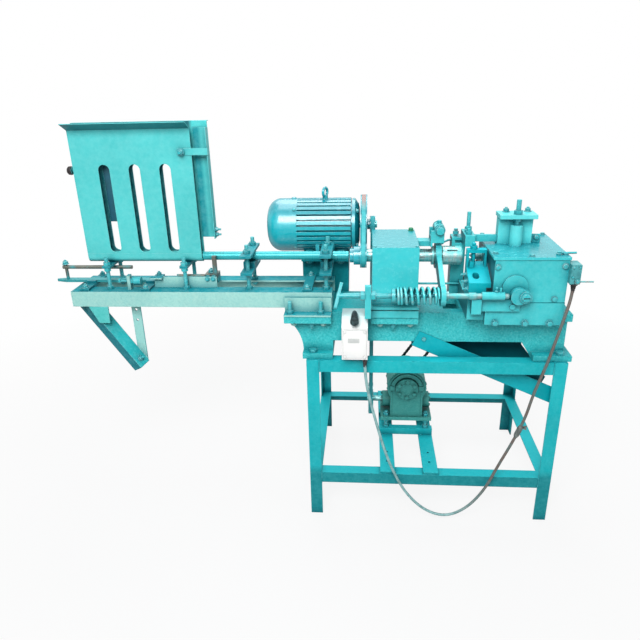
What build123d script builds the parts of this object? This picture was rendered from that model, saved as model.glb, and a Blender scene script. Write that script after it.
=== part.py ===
from build123d import *
import os
from math import cos, dist, pi, radians, sin, sqrt, tan

# Bead making machine: an angle-iron stand, a cast bed, a feed table with a stick hopper, a belt-driven
# hollow spindle, a cam box and a worm reducer. Millimetres, +Z up, X along the spindle, and the origin
# on the floor under the middle of the machine.
os.makedirs("parts", exist_ok=True)

# Clearances
fit_gap = 0.05
slip_gap = 0.3
hole_gap = 0.5
weld_gap = 0.2

# Stand
stand_left = 5
stand_front = -245
stand_length = 800
stand_depth = 560
stand_height = 595
angle_leg = 40
angle_wall = 4
lower_rail_top = 172
stand_right = stand_left + stand_length
stand_back = stand_front + stand_depth

# Bed casting
bed_left_overhang = 65
bed_right_inset = 5
bed_setback = 46
bed_depth = 194
bed_height = 146
bed_wall = 14
bed_plate = 18
arch_rise = 49
arch_slope = 30
foot_overhang = 12
left_foot_length = 95
right_foot_length = 115
end_pad = (34, 10)
end_pad_proud = 12
foot_thickness = 18
foot_reach = 34
pad_reach = 41
pad_thickness = 23
bed_left = stand_left - bed_left_overhang
bed_right = stand_right - bed_right_inset
bed_front = stand_front + bed_setback
bed_back = bed_front + bed_depth
bed_top = stand_height + bed_height
foot_left = stand_left - foot_overhang
foot_right = stand_right + foot_overhang
foot_front = bed_front - foot_reach
foot_back = bed_back + foot_reach
foot_top = stand_height + foot_thickness
pad_front = bed_front - pad_reach
pad_bottom = bed_top - pad_thickness

# Along the bed, lengths keep their share of it
bed_share = (bed_right - bed_left) / 860

# Hexagon bolts
bolt_radius = 7
bolt_head_across = 22
bolt_head_height = 9
foot_bolt_inset = 17
foot_bolt_x = (stand_left + angle_leg / 2, stand_right - angle_leg / 2)
foot_bolt_y = (foot_front + foot_bolt_inset, foot_back - foot_bolt_inset)

# Spindle line, headstock and drive pulleys
spindle_setback = 79
spindle_rise = 159
spindle_radius = 20
spindle_bore = 11
spindle_y = bed_front + spindle_setback
spindle_z = bed_top + spindle_rise
headstock_offset = 266 * bed_share
headstock_length = 142 * bed_share
headstock_left = bed_left + headstock_offset
headstock_right = headstock_left + headstock_length
base_thickness = 22
base_neck = 4
base_neck_inset = 6
base_plate = 8
curb_height = 10
cover_sheet = 2
cover_height = 169
cover_front_inset = 10
cover_side_inset = 3
pedestal_width = 34
pedestal_inset = 8
pedestal_half = 55
pedestal_top_rise = 50
bearing_radius = 40
base_top = bed_top + base_thickness + base_neck + base_plate
cover_bottom = base_top + curb_height
cover_top = cover_bottom + cover_height
cone_steps = ((12, 22), (20, 29), (20, 38.5))
cone_gap = 14
cone_right = headstock_left - cone_gap
cone_left = cone_right - sum(width for width, radius in cone_steps)
nose_length = 136 * bed_share
spindle_right = headstock_right + nose_length
belt_width = 13
belt_thickness = 9
belt_gap = 0.5

# Motor
motor_setback = 60
motor_rise = 217
motor_shaft_height = 90
motor_core_radius = 76
motor_radius = 88
motor_bore = 51
fin_count = 32
fin_turn = 7
fin_width = 11.5
fan_cover_length = 100
fan_dome = 44
housing_length = 180
shield_length = 24
shaft_radius = 12
motor_end_gap = 3
pulley_width = 22
motor_y = bed_back + motor_setback
motor_z = bed_top + motor_rise
motor_foot_z = motor_z - motor_shaft_height
main_belt_x = cone_right - cone_steps[2][0] / 2
shield_right = main_belt_x - pulley_width / 2 - motor_end_gap
shield_left = shield_right - shield_length
housing_left = shield_left - housing_length
fan_cover_left = housing_left - fan_cover_length
main_pulley_radius = 97.5
feed_pulley_radius = 27
belt_spacing = 29
feed_belt_x = main_belt_x + belt_spacing
motor_foot_start = 38
motor_foot_reach = 88
motor_foot_inset = (20, 18)
motor_foot_thickness = 12
motor_bolt_spread = 74
motor_bolt_inset = 20
motor_web = 12
motor_web_y = (52, 72)
motor_web_x = (40, 52)
motor_web_drop = 44
motor_end_wall = 14
eye_stem = 9
eye_ring = 14
eye_wire = 4.5
eye_rise = 20
stand_plate = 12

# Feed table
table_rise = 65
table_half = 83
table_length = 830
table_overlap = 147
table_leg = 50
table_wall = 5
table_top = bed_top + table_rise
table_right = bed_left + table_overlap
table_left = table_right - table_length
table_front = spindle_y - table_half
table_back = spindle_y + table_half
table_under = table_top - table_leg
clamp_leg = 50
clamp_ledge = 40
stud_radius = 6
stud_spread = 50
nut_across = 19
nut_height = 10
strap_width = 25
strap_thickness = 8
strap_length = 120
clamp_stud_inset = (18, 34)
clamp_stud_height = 42
packing_inset = 2
thread_end = 4
clamp_width = 36
clamp_inset = 8
saddle_height = 19
saddle_width = 28
tube_radius = 13.5
tube_wall = 2.7

# Hopper
hopper_inset = 46
hopper_length = 371
hopper_gap = 30
hopper_height = 377
sheet = 2
lip_reach = 40
lip_rise = 20
back_lip = 18
slot_width = 35
slot_length = 272
slot_pitch = 94.5
slot_rise = 4
trough_wall_height = 12
guide_width = 46
guide_rise = 46
hopper_left = table_left + hopper_inset
hopper_right = hopper_left + hopper_length
trough_top = spindle_z + trough_wall_height
hopper_top = trough_top + hopper_height
plate_in = hopper_gap / 2
plate_out = plate_in + sheet
butt_gap = 1
tail_gap = 4
hopper_stud_inset = (72, 50)
hopper_stud_rise = 24
tube_stud_offset = (150, 128)
tube_stud_rise = 34
slot_shift = 5
keeper_rise = 300
keeper_width = 20
keeper_overlap = 42
keeper_bolt_inset = 30
keeper_bolt_radius = 6
knob_rise = 258
knob_stem = (9, 5)
knob_head = (13, 11)
tube_left = hopper_right + butt_gap
tube_right = cone_left - tail_gap
hopper_stud_x = (hopper_left + hopper_stud_inset[0], hopper_right - hopper_stud_inset[1])
tube_stud_x = (tube_left + tube_stud_offset[0], bed_left + tube_stud_offset[1])
stud_x = hopper_stud_x + tube_stud_x

# Pusher and stop on the table
cross_strap_thickness = 8
cross_strap_half = 15
cross_strap_inset = 6
cross_strap_offset = (43, 240, 77)
cheek_width = 10
cross_strap_x = (
    table_left + cross_strap_offset[0],
    table_left + cross_strap_offset[1],
    table_right - cross_strap_offset[2],
)
pusher_width = 25
pusher_thickness = 8
pusher_overhang = 80
pusher_reach = 46
pusher_tip_length = 34
pusher_tip_half = 3
push_pin_inset = 36
push_pin_radius = 5
push_rail_rise = 48
push_rail_radius = 6
push_rail_end = 132
dog_length = 40
dog_height = 24
dog_overlap = 14
finger_width = 12
finger_reach = 16
finger_rise = 6
dog_pin_length = 95
dog_pin_offset = (12, 15)
pusher_left = table_left - pusher_overhang
pusher_right = hopper_right + pusher_reach
pusher_z = table_top + cross_strap_thickness + slip_gap
push_pin_x = pusher_left + push_pin_inset
push_rail_z = pusher_z + push_rail_rise
guide_plate = 4
guide_plate_height = 36
guide_plate_inset = 5
guide_plate_start = 215
guide_tab_x = (205, 245)
guide_tab_reach = 16
stop_offset = (140, 29, 27)
stop_half = (5, 9)
stop_height = 47
stop_radius = 5
stop_ends = (34, 22)
bumper_radius = 13
bumper_ends = (15, 38)
stop_x = hopper_left + stop_offset[0]
stop_y = table_front + stop_offset[1]
stop_z = table_top + stop_offset[2]

# Fork lever, sleeve, spring rod
lever_offset = 62 * bed_share
lever_x = headstock_right + lever_offset
lever_thickness = 14
pivot_rise = 85
pivot_radius = 7
ring_inner = 26.5
ring_outer = 40
ring_width = 18
sleeve_radius = 29
sleeve_neck = 24
sleeve_play = 4
ear_thickness = 8
rod_reach = 170
rod_drop = 72
rod_radius = 8
spigot_radius = 5
eye_radius = 30
eye_play = 1.4
rod_y = spindle_y - rod_reach
rod_z = spindle_z - rod_drop
pivot_z = spindle_z + pivot_rise
spring_radius = 23
spring_wire = 8
spring_length = 128
spring_seat_x = lever_x - lever_thickness / 2 - spring_length
spring_tight_turns = 2
spring_open_turns = 5.5
spring_end_turns = 1
post_width = 18

# Cam box
box_right_inset = 43 * bed_share
box_length = 202 * bed_share
box_depth = 256
box_overhang = 60
box_wall = 8
box_step = 59
box_step_out = 15
box_height = 187
lid_thickness = 8
lid_overhang = 5
front_plate = 8
cam_inset = 86 * bed_share
camshaft_radius = 12
cam_radius = 24
cam_throw = 17
cam_width = 20
rod_guide_ends = (80, 16)
rod_guide_radius = 12
guide_arm_half = 7
oiler_inset = 12
oiler_rise = 24
oiler_radius = 3.5
boss_offset = (25, 20)
boss_radius = 36
boss_proud = 5
bearing_length = 45
bearing_boss = 30
slide_bar_ends = (33, 8)
slide_bar_depth = 10
slide_bar_z = (24, 13)
slide_head = 28
slide_head_proud = 12
slide_pin = (30, 8, 7)
quill_boss = 12
chuck_radius = 13
chuck_ends = (38, 14)
bit_radius = 2.5
bit_length = 24
quill_radius = 17
quill_length = 0.6 * box_length
box_right = bed_right - box_right_inset
box_left = box_right - box_length
box_front = bed_front - box_overhang
box_back = box_front + box_depth
box_top = bed_top + box_height
step_z = bed_top + box_step
lid_top = box_top + lid_thickness
plate_front = box_front - front_plate
camshaft_x = box_left + cam_inset
camshaft_z = rod_z
bracket_offset = (5, 17)
bracket_x = camshaft_x - bracket_offset[0]
bracket_y = spindle_y - bracket_offset[1]
bracket_half = 50
bracket_rise = 94
bracket_sheet = 5
bracket_side = 28
bracket_cap = 12
bracket_web = 15
cap_edges = (4, 18, 48)
cylinder_radius = 18.5
cylinder_height = 62
cylinder_bore = 16
adjuster_radius = 7
adjuster_rise = 42
adjuster_nut = 22
tool_gap = 4
slide_gap = 17
rest_reach = (56, 60)
dovetail_rise = 74
dovetail_depth = 14
dovetail_half = 15
dovetail_angle = 110
dovetail_length = 110
tool_post_x = (28, 15)
tool_post_y = (62, 6)
tool_post_rise = 40
tool_arm_x = (2, 32)
tool_arm_rise = 62
tool_arm_depth = 34
small_stud = 5
small_nut = (16, 9)
arm_pin_y = (16, 42)

# Worm reducer under the bed
reducer_offset = 335
worm_height = 52
centre_distance = 80
reducer_width = 140
reducer_depth = 140
reducer_lift = 60
reducer_foot = 14
tunnel_reach = 15
cross_bar = 25
bar_width = 50
bar_height = 8
bar_end = 2
bar_spread = 72
bar_hole_y = (62, 118)
bar_hole = 4.5
reducer_bolt_inset = 16
worm_radius = 19
wheel_radius = 60
input_pulley_radius = 58
reducer_side = 12
body_inset = 8
tunnel_radius = 30
flange_half = 9
flange_inset = 2
chamber_wall = 10
front_cover = (40, 6)
back_cover = (36, 4)
worm_room_inset = 18
worm_shaft_radius = 10
worm_half = 44
wheel_shaft_radius = 14
wheel_half = 16
wheel_room_half = 26
sprocket_half = 7
sprocket_radius = 28.6
chain_thickness = 11
chain_width = 8
chain_plane_gap = 25
reducer_x = stand_left + reducer_offset
reducer_y = motor_y
bar_top = lower_rail_top + weld_gap + bar_height
reducer_base = bar_top + reducer_lift
worm_z = reducer_base + worm_height
wheel_z = worm_z + centre_distance
reducer_front = reducer_y - reducer_depth / 2
reducer_back = reducer_y + reducer_depth / 2
chain_y = reducer_back + chain_plane_gap

# Switch box, limit switch, chute and cord
switch_width = 78
switch_height = 134
switch_offset = 87
switch_rise = 24
switch_depth = 86
switch_bevel = (24, 30)
switch_left = headstock_left - switch_offset
switch_bottom = stand_height + switch_rise
switch_top = switch_bottom + switch_height
switch_front = bed_front - switch_depth
switch_wall = 3
handle_x = switch_left + switch_width / 2
handle_drop = 3
handle_z = switch_top - handle_drop
grip_rise = 12
grip_half = (10, 20)
grip_depth = 16
dial_radius = 12
dial_proud = 4
limit_drop = 66
limit_bottom = box_top - limit_drop
limit_height = 56
limit_width = 28
whisker_reach = 35
whisker_hub = 8
whisker_inset = 9
whisker_pin = 4
whisker_wire = 2.2
chute_angle = 24
chute_sheet = 2
chute_wall_height = 52
chute_width = 140
chute_end_gap = 12
chute_start = (12, 37)
chute_x = headstock_right - chute_start[0]
chute_z = stand_height + chute_start[1]
chute_length = (stand_right - chute_end_gap - chute_x) / cos(radians(chute_angle))
cord_radius = 4.5
cord_inset = (70, 22)
cord_y = switch_front + cord_inset[1]


def block(x, y, z, mode=Mode.ADD):
    # Box between a pair of values on each axis
    with Locations(((x[0] + x[1]) / 2, (y[0] + y[1]) / 2, (z[0] + z[1]) / 2)):
        Box(x[1] - x[0], y[1] - y[0], z[1] - z[0], mode=mode)


def bar_x(x, y, z, radius, mode=Mode.ADD):
    # Round bar along X
    with Locations(Location((x[0], y, z), (0, 90, 0))):
        Cylinder(radius, x[1] - x[0], align=(Align.CENTER, Align.CENTER, Align.MIN), mode=mode)


def bar_y(x, y, z, radius, mode=Mode.ADD):
    # Round bar along Y
    with Locations(Location((x, y[0], z), (-90, 0, 0))):
        Cylinder(radius, y[1] - y[0], align=(Align.CENTER, Align.CENTER, Align.MIN), mode=mode)


def bar_z(x, y, z, radius, mode=Mode.ADD):
    # Round bar along Z
    with Locations((x, y, z[0])):
        Cylinder(radius, z[1] - z[0], align=(Align.CENTER, Align.CENTER, Align.MIN), mode=mode)


def hexagon(origin, direction, across, height):
    # Hexagon head or nut standing on origin
    with BuildSketch(Plane(origin=origin, z_dir=direction)) as outline:
        RegularPolygon(across / 2, 6, major_radius=False)
    extrude(outline.sketch, amount=height)


def bolt_down(x, y, head_z, nut_z):
    # Bolt along Z with its head on head_z and its nut under nut_z
    bar_z(x, y, (nut_z - bolt_head_height - thread_end, head_z), bolt_radius)
    hexagon((x, y, head_z), (0, 0, 1), bolt_head_across, bolt_head_height)
    hexagon((x, y, nut_z), (0, 0, -1), bolt_head_across, bolt_head_height)


def angle_iron(corner, first, second, length, leg, wall):
    # Angle section with its outer corner at corner, drawn along first cross second
    along = Vector(*first).cross(Vector(*second))
    with BuildSketch(Plane(origin=corner, x_dir=first, z_dir=along)) as section:
        with BuildLine():
            Polyline((0, 0), (leg, 0), (leg, wall), (wall, wall), (wall, leg), (0, leg), close=True)
        make_face()
    extrude(section.sketch, amount=length)


def rail_ring(top):
    # Four rails between the legs, flat leg on top and the other turned down
    span_x = stand_length - 2 * angle_leg
    span_y = stand_depth - 2 * angle_leg - 2 * weld_gap
    down = (0, 0, -1)
    left, right = stand_left + angle_leg, stand_right - angle_leg
    front, back = stand_front + angle_leg + weld_gap, stand_back - angle_leg - weld_gap
    angle_iron((right, stand_front, top), (0, 1, 0), down, span_x, angle_leg, angle_wall)
    angle_iron((left, stand_back, top), (0, -1, 0), down, span_x, angle_leg, angle_wall)
    angle_iron((stand_left, front, top), (1, 0, 0), down, span_y, angle_leg, angle_wall)
    angle_iron((stand_right, back, top), (-1, 0, 0), down, span_y, angle_leg, angle_wall)
    inner = angle_wall + weld_gap
    for y in ((stand_front + inner, stand_front + angle_leg), (stand_back - angle_leg, stand_back - inner)):
        block((stand_left + inner, left), y, (top - angle_wall, top))
        block((right, stand_right - inner), y, (top - angle_wall, top))


def front_plane(y):
    # Upright sketch plane at y, with X to the right and Z up
    return Plane(origin=(0, y, 0), x_dir=(1, 0, 0), z_dir=(0, -1, 0))


def side_plane(x):
    # Upright sketch plane at x, with Y to the right and Z up
    return Plane(origin=(x, 0, 0), x_dir=(0, 1, 0), z_dir=(1, 0, 0))


def belt_loop(plane, centre_a, radius_a, centre_b, radius_b, thickness, width):
    # Closed belt around two pulleys, its outer face on their radii
    with BuildSketch(plane) as loop:
        for grow, mode in ((0, Mode.ADD), (-thickness, Mode.SUBTRACT)):
            with BuildSketch(plane, mode=mode):
                with Locations(centre_a):
                    Circle(radius_a + grow)
                with Locations(centre_b):
                    Circle(radius_b + grow)
                make_hull()
    extrude(loop.sketch, amount=width / 2, both=True)


def grooved_pulley(x, y, z, radius, width):
    # Pulley on an X shaft, with one groove that the belt lies in
    bar_x((x - width / 2, x + width / 2), y, z, radius)
    half = belt_width / 2 + belt_gap
    with Locations(Location((x - half, y, z), (0, 90, 0))):
        ring = (Align.CENTER, Align.CENTER, Align.MIN)
        with BuildPart(mode=Mode.PRIVATE) as groove:
            Cylinder(radius + 1, 2 * half, align=ring)
            Cylinder(radius - belt_thickness - belt_gap, 2 * half, align=ring, mode=Mode.SUBTRACT)
        add(groove.part, mode=Mode.SUBTRACT)


# Stand legs
with BuildPart() as stand_legs:
    for x, dx in ((stand_left, 1), (stand_right, -1)):
        for y, dy in ((stand_front, 1), (stand_back, -1)):
            legs = ((dx, 0, 0), (0, dy, 0)) if dx * dy > 0 else ((0, dy, 0), (dx, 0, 0))
            angle_iron((x, y, 0), *legs, stand_height, angle_leg, angle_wall)

# Stand rails under the bed
with BuildPart() as stand_top_rails:
    rail_ring(stand_height)
    for x in foot_bolt_x:
        for y in foot_bolt_y:
            bar_z(x, y, (stand_height - angle_leg, stand_height), bolt_radius + hole_gap, Mode.SUBTRACT)

# Lower rails and the two flat bars that carry the reducer
reducer_bolt_y = (reducer_front + reducer_bolt_inset, reducer_back - reducer_bolt_inset)
reducer_bolt_x = (reducer_x - bar_spread, reducer_x + bar_spread)
cross_top = bar_top + weld_gap + cross_bar
with BuildPart() as stand_lower_rails:
    rail_ring(lower_rail_top)
    for x in reducer_bolt_x:
        edge = (stand_front + bar_end, stand_back - bar_end)
        base = lower_rail_top + weld_gap
        block((x - bar_width / 2, x + bar_width / 2), edge, (base, base + bar_height))
        for y in bar_hole_y:
            bar_z(x, stand_front + y, (base, base + bar_height), bar_hole, Mode.SUBTRACT)
    seat = 2 * (bar_spread + bar_width / 2)
    start = reducer_x + seat / 2
    stud_edge = angle_wall + 0.62 * nut_across
    low = reducer_bolt_y[0] - stud_edge
    high = reducer_bolt_y[1] + stud_edge
    angle_iron((start, low, cross_top), (0, 1, 0), (0, 0, -1), seat, cross_bar, angle_wall)
    angle_iron((start - seat, high, cross_top), (0, -1, 0), (0, 0, -1), seat, cross_bar, angle_wall)
    for x in reducer_bolt_x:
        for y in reducer_bolt_y:
            bar_z(x, y, (bar_top + weld_gap, cross_top), stud_radius + hole_gap, Mode.SUBTRACT)

# Bed casting: a hollow box with two feet, an arch between them and pads for what it carries
arch_z = stand_height + arch_rise
arch_left = foot_left + left_foot_length
arch_right = foot_right - right_foot_length - arch_slope
window_offset = 82 * bed_share
window_half = 45
window_x = (headstock_right + window_offset, spindle_right - 2)
with BuildPart() as bed_casting:
    with BuildSketch(front_plane(bed_front)):
        with BuildLine():
            Polyline(
                (bed_left, pad_bottom),
                (bed_left, bed_top),
                (bed_right, bed_top),
                (bed_right, stand_height),
                (arch_right + arch_slope, stand_height),
                (arch_right, arch_z),
                (arch_left, arch_z),
                (arch_left, stand_height),
                (foot_left, stand_height),
                (foot_left, foot_top),
            )
            TangentArc((foot_left, foot_top), (bed_left, pad_bottom), tangent=(0, 1))
        make_face()
    extrude(amount=-bed_depth)
    inside = (bed_front + bed_wall, bed_back - bed_wall)
    hollow = (stand_height, bed_top - bed_plate)
    block((foot_left + bed_wall, bed_right - bed_wall), inside, hollow, Mode.SUBTRACT)
    foot_spans = ((foot_left, arch_left), (arch_right + arch_slope, foot_right))
    for span in foot_spans:
        block(span, (foot_front, foot_back), (stand_height, foot_top))
    for span in ((bed_left, table_right - packing_inset), (headstock_left, headstock_right)):
        block(span, (pad_front, bed_front), (pad_bottom, bed_top))
    end_span = (bed_right - end_pad[0], bed_right + end_pad[1])
    block(end_span, (bed_front - end_pad_proud, bed_front), (pad_bottom, bed_top))
    block((bed_right, end_span[1]), (bed_front, bed_back), (pad_bottom, bed_top))
    for x in foot_bolt_x:
        for y in foot_bolt_y:
            bar_z(x, y, (stand_height, foot_top), bolt_radius + hole_gap, Mode.SUBTRACT)
    window_y = (spindle_y - window_half, spindle_y + window_half)
    block(window_x, window_y, (bed_top - bed_plate, bed_top), Mode.SUBTRACT)

# Feed table: two angle rails and a left end piece
with BuildPart() as table_rails:
    rail_left = table_left + table_wall + weld_gap
    rail_length = table_right - rail_left
    down = (0, 0, -1)
    angle_iron((table_right, table_front, table_top), (0, 1, 0), down, rail_length, table_leg, table_wall)
    angle_iron((rail_left, table_back, table_top), (0, -1, 0), down, rail_length, table_leg, table_wall)
    end_gap = (table_front + table_leg + weld_gap, table_back - table_leg - weld_gap)
    block((table_left, table_left + table_wall), (table_front, table_back), (table_under, table_top))
    block((table_left, table_left + table_leg), end_gap, (table_top - table_wall, table_top))
    for x in stud_x:
        for y in (spindle_y - stud_spread, spindle_y + stud_spread):
            bar_z(x, y, (table_under, table_top), stud_radius + hole_gap, Mode.SUBTRACT)

# Clamp that holds the table on the bed: packing plate and front angle
clamp_stud_x = (bed_left + clamp_stud_inset[0], table_right - clamp_stud_inset[1])
clamp_stud_y = table_front - clamp_ledge / 2
with BuildPart() as table_clamp:
    packing = (bed_left, table_right - packing_inset)
    block(packing, (table_front, table_back), (bed_top, table_under))
    block(packing, (table_front - table_wall, table_front - weld_gap), (bed_top, bed_top + clamp_leg))
    block(packing, (table_front - clamp_ledge, table_front - weld_gap), (bed_top, bed_top + table_wall))
    for x in clamp_stud_x:
        bar_z(x, clamp_stud_y, (bed_top, bed_top + table_wall), stud_radius + hole_gap, Mode.SUBTRACT)

# Outrigger brace under the left end: slanted angle with its ridge to the front, gusset and hanger bar
brace_leg = 42
brace_wall = 4
brace_drop = 220
brace_foot = (table_left + 190, table_front + table_wall + weld_gap, table_under - brace_drop)
brace_lean = 33
brace_roll = radians(62)
brace_length = brace_drop / cos(radians(brace_lean)) + 1.5 * brace_leg
ridge = (cos(radians(brace_lean)), 0, sin(radians(brace_lean)))
hanger_y = brace_foot[1] + brace_leg * sin(brace_roll) + weld_gap
with BuildPart() as table_brace:
    up, back = Vector(*ridge), Vector(0, 1, 0)
    right_leg = tuple(up * cos(brace_roll) + back * sin(brace_roll))
    left_leg = tuple(up * -sin(brace_roll) + back * cos(brace_roll))
    angle_iron(brace_foot, right_leg, left_leg, brace_length, brace_leg, brace_wall)
    above = (table_under - weld_gap, table_top + brace_length)
    reach = (table_left - brace_length, table_left + brace_length)
    block(reach, (table_front, table_back), above, Mode.SUBTRACT)
    with BuildSketch(front_plane(table_front)):
        with BuildLine():
            Polyline(
                (table_left + 50, table_under - weld_gap),
                (table_left + 114, table_under - weld_gap),
                (table_left + 112, table_under - 57),
                (table_left + 78, table_under - 57),
                close=True,
            )
        make_face()
    extrude(amount=-table_wall)
    hanger_x = (table_left + 172, table_left + 202)
    hanger_z = (table_under - brace_drop + 10, table_top - table_wall)
    block(hanger_x, (hanger_y, hanger_y + table_wall), hanger_z)
    for drop in (26, 62):
        hole_x = sum(hanger_x) / 2
        bar_y(hole_x, (hanger_y, hanger_y + table_wall), table_under - drop, 4.5, Mode.SUBTRACT)

# Straps across the table: two carry the hopper, four clamp the feed tube, three lie on the rails
strap_y = (spindle_y - strap_length / 2, spindle_y + strap_length / 2)
trough_under = spindle_z - plate_out
tube_seat = tube_radius + fit_gap
saddle_z = (spindle_z - tube_seat - saddle_height, spindle_z - tube_seat)
with BuildPart() as cross_straps:
    levels = [(x, trough_under - strap_thickness - fit_gap, strap_width, strap_y) for x in hopper_stud_x]
    for z in (saddle_z[0] - strap_thickness, spindle_z + tube_seat):
        levels += [(x, z, clamp_width, (table_front, table_back - clamp_inset)) for x in tube_stud_x]
    for x, z, width, span in levels:
        block((x - width / 2, x + width / 2), span, (z, z + strap_thickness))
        for y in (spindle_y - stud_spread, spindle_y + stud_spread):
            bar_z(x, y, (z, z + strap_thickness), stud_radius + hole_gap, Mode.SUBTRACT)
    for x in tube_stud_x:
        saddle_y = (spindle_y - saddle_width, spindle_y + saddle_width)
        block((x - clamp_width / 2, x + clamp_width / 2), saddle_y, saddle_z)
    for x in cross_strap_x:
        level = (table_top, table_top + cross_strap_thickness)
        span = (table_front + cross_strap_inset, table_back - cross_strap_inset)
        block((x - cross_strap_half, x + cross_strap_half), span, level)
    cheek = pusher_width / 2 + slip_gap
    for x in cross_strap_x[:2]:
        for start in (spindle_y - cheek - cheek_width, spindle_y + cheek):
            level = (table_top, pusher_z + pusher_thickness)
            block((x - cross_strap_half, x + cross_strap_half), (start, start + cheek_width), level)

# Threaded studs with their nuts
with BuildPart() as threaded_studs:
    tops = {x: trough_under + hopper_stud_rise for x in hopper_stud_x}
    tops.update({x: spindle_z + tube_radius + tube_stud_rise for x in tube_stud_x})
    for x, top in tops.items():
        lower, upper = trough_under - strap_thickness, trough_under
        if x in tube_stud_x:
            lower, upper = saddle_z[0] - strap_thickness, spindle_z + tube_seat + strap_thickness
        for y in (spindle_y - stud_spread, spindle_y + stud_spread):
            bar_z(x, y, (table_top - table_wall - nut_height - thread_end, top), stud_radius)
            hexagon((x, y, table_top), (0, 0, 1), nut_across, nut_height)
            hexagon((x, y, table_top - table_wall), (0, 0, -1), nut_across, nut_height)
            hexagon((x, y, lower - fit_gap), (0, 0, -1), nut_across, nut_height)
            hexagon((x, y, upper + fit_gap), (0, 0, 1), nut_across, nut_height)
    for x in clamp_stud_x:
        bar_z(x, clamp_stud_y, (bed_top + fit_gap, bed_top + clamp_stud_height), stud_radius)
        hexagon((x, clamp_stud_y, bed_top + table_wall), (0, 0, 1), nut_across, nut_height)
    for x in reducer_bolt_x:
        for y in reducer_bolt_y:
            foot_z = (reducer_base, reducer_base + reducer_foot)
            ends = (cross_top - angle_wall - nut_height - thread_end, foot_z[1] + nut_height + 1.5 * thread_end)
            bar_z(x, y, ends, stud_radius)
            hexagon((x, y, cross_top), (0, 0, 1), nut_across, nut_height)
            hexagon((x, y, cross_top - angle_wall), (0, 0, -1), nut_across, nut_height)
            hexagon((x, y, foot_z[0]), (0, 0, -1), nut_across, nut_height)
            hexagon((x, y, foot_z[1]), (0, 0, 1), nut_across, nut_height)

# Feed tube
with BuildPart() as feed_tube:
    bar_x((tube_left, tube_right), spindle_y, spindle_z, tube_radius)
    bar_x((tube_left, tube_right), spindle_y, spindle_z, tube_radius - tube_wall, Mode.SUBTRACT)

# Hopper front plate, its flared lip and the strap that keeps the end guide
slot_middle = (hopper_left + hopper_right) / 2 + slot_shift
slot_z = trough_top + slot_rise + slot_length / 2
guide_right = hopper_right + butt_gap + guide_width
strap_z = (trough_top + keeper_rise, trough_top + keeper_rise + keeper_width)
strap_end = guide_right + slip_gap
with BuildPart() as hopper_front:
    with BuildSketch(side_plane(hopper_left)):
        with BuildLine():
            Polyline(
                (spindle_y - plate_in, trough_top),
                (spindle_y - plate_in, hopper_top),
                (spindle_y - plate_in - lip_reach, hopper_top + lip_rise),
            )
            offset(amount=sheet, side=Side.LEFT)
        make_face()
    extrude(amount=hopper_length)
    with BuildSketch(front_plane(spindle_y - plate_out)):
        with Locations((slot_middle, slot_z)):
            with GridLocations(slot_pitch, 1, 3, 1):
                SlotOverall(slot_length, slot_width, rotation=90)
    extrude(amount=-sheet, mode=Mode.SUBTRACT)
    strap_y_out = spindle_y - plate_out - sheet
    block((hopper_right - keeper_overlap, strap_end + sheet), (strap_y_out, strap_y_out + sheet), strap_z)
    block((strap_end, strap_end + sheet), (strap_y_out, spindle_y), strap_z)
    bolt_y = (strap_y_out - keeper_bolt_radius, strap_y_out)
    bar_y(hopper_right - keeper_bolt_inset, bolt_y, sum(strap_z) / 2, keeper_bolt_radius)

# Hopper back plate with its folded left end and backward lip
with BuildPart() as hopper_back:
    with BuildSketch(side_plane(hopper_left)):
        with BuildLine():
            Polyline(
                (spindle_y + plate_in, trough_top),
                (spindle_y + plate_in, hopper_top + lip_rise - sheet),
                (spindle_y + plate_in + back_lip, hopper_top + lip_rise - sheet),
            )
            offset(amount=sheet, side=Side.RIGHT)
        make_face()
    extrude(amount=hopper_length + guide_width)
    corner_y = (spindle_y + plate_in, spindle_y + plate_in + sheet)
    corner_x = (hopper_right + butt_gap, hopper_right + 2 * guide_width)
    block(corner_x, corner_y, (trough_top, trough_top + guide_rise), Mode.SUBTRACT)
    fold = (spindle_y - plate_in + slip_gap, spindle_y + plate_in)
    block((hopper_left, hopper_left + sheet), fold, (trough_top, hopper_top))
    with BuildSketch(front_plane(spindle_y + plate_in)):
        with Locations((slot_middle, slot_z)):
            with GridLocations(slot_pitch, 1, 3, 1):
                SlotOverall(slot_length, slot_width, rotation=90)
    extrude(amount=-sheet, mode=Mode.SUBTRACT)
    end = hopper_left
    for length, radius in (knob_stem, knob_head):
        bar_x((end - length, end), spindle_y, trough_top + knob_rise, radius)
        end -= length

# Hopper trough under the plates
with BuildPart() as hopper_trough:
    with BuildSketch(side_plane(hopper_left)):
        with BuildLine():
            Line((spindle_y - plate_in, trough_top), (spindle_y - plate_in, spindle_z))
            ThreePointArc(
                (spindle_y - plate_in, spindle_z),
                (spindle_y, spindle_z - plate_in),
                (spindle_y + plate_in, spindle_z),
            )
            Line((spindle_y + plate_in, spindle_z), (spindle_y + plate_in, trough_top))
            offset(amount=sheet, side=Side.RIGHT)
        make_face()
    extrude(amount=hopper_length)

# End guide that closes the hopper on the right and slides to suit the stick length
with BuildPart() as hopper_guide:
    guide_front = spindle_y - plate_in + slip_gap
    guide_z = (trough_top + guide_rise, hopper_top)
    guide_back = spindle_y + plate_in - slip_gap
    block((guide_right - guide_width, guide_right), (guide_back - sheet, guide_back), guide_z)
    block((guide_right - sheet, guide_right), (guide_front, guide_back), guide_z)

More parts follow.
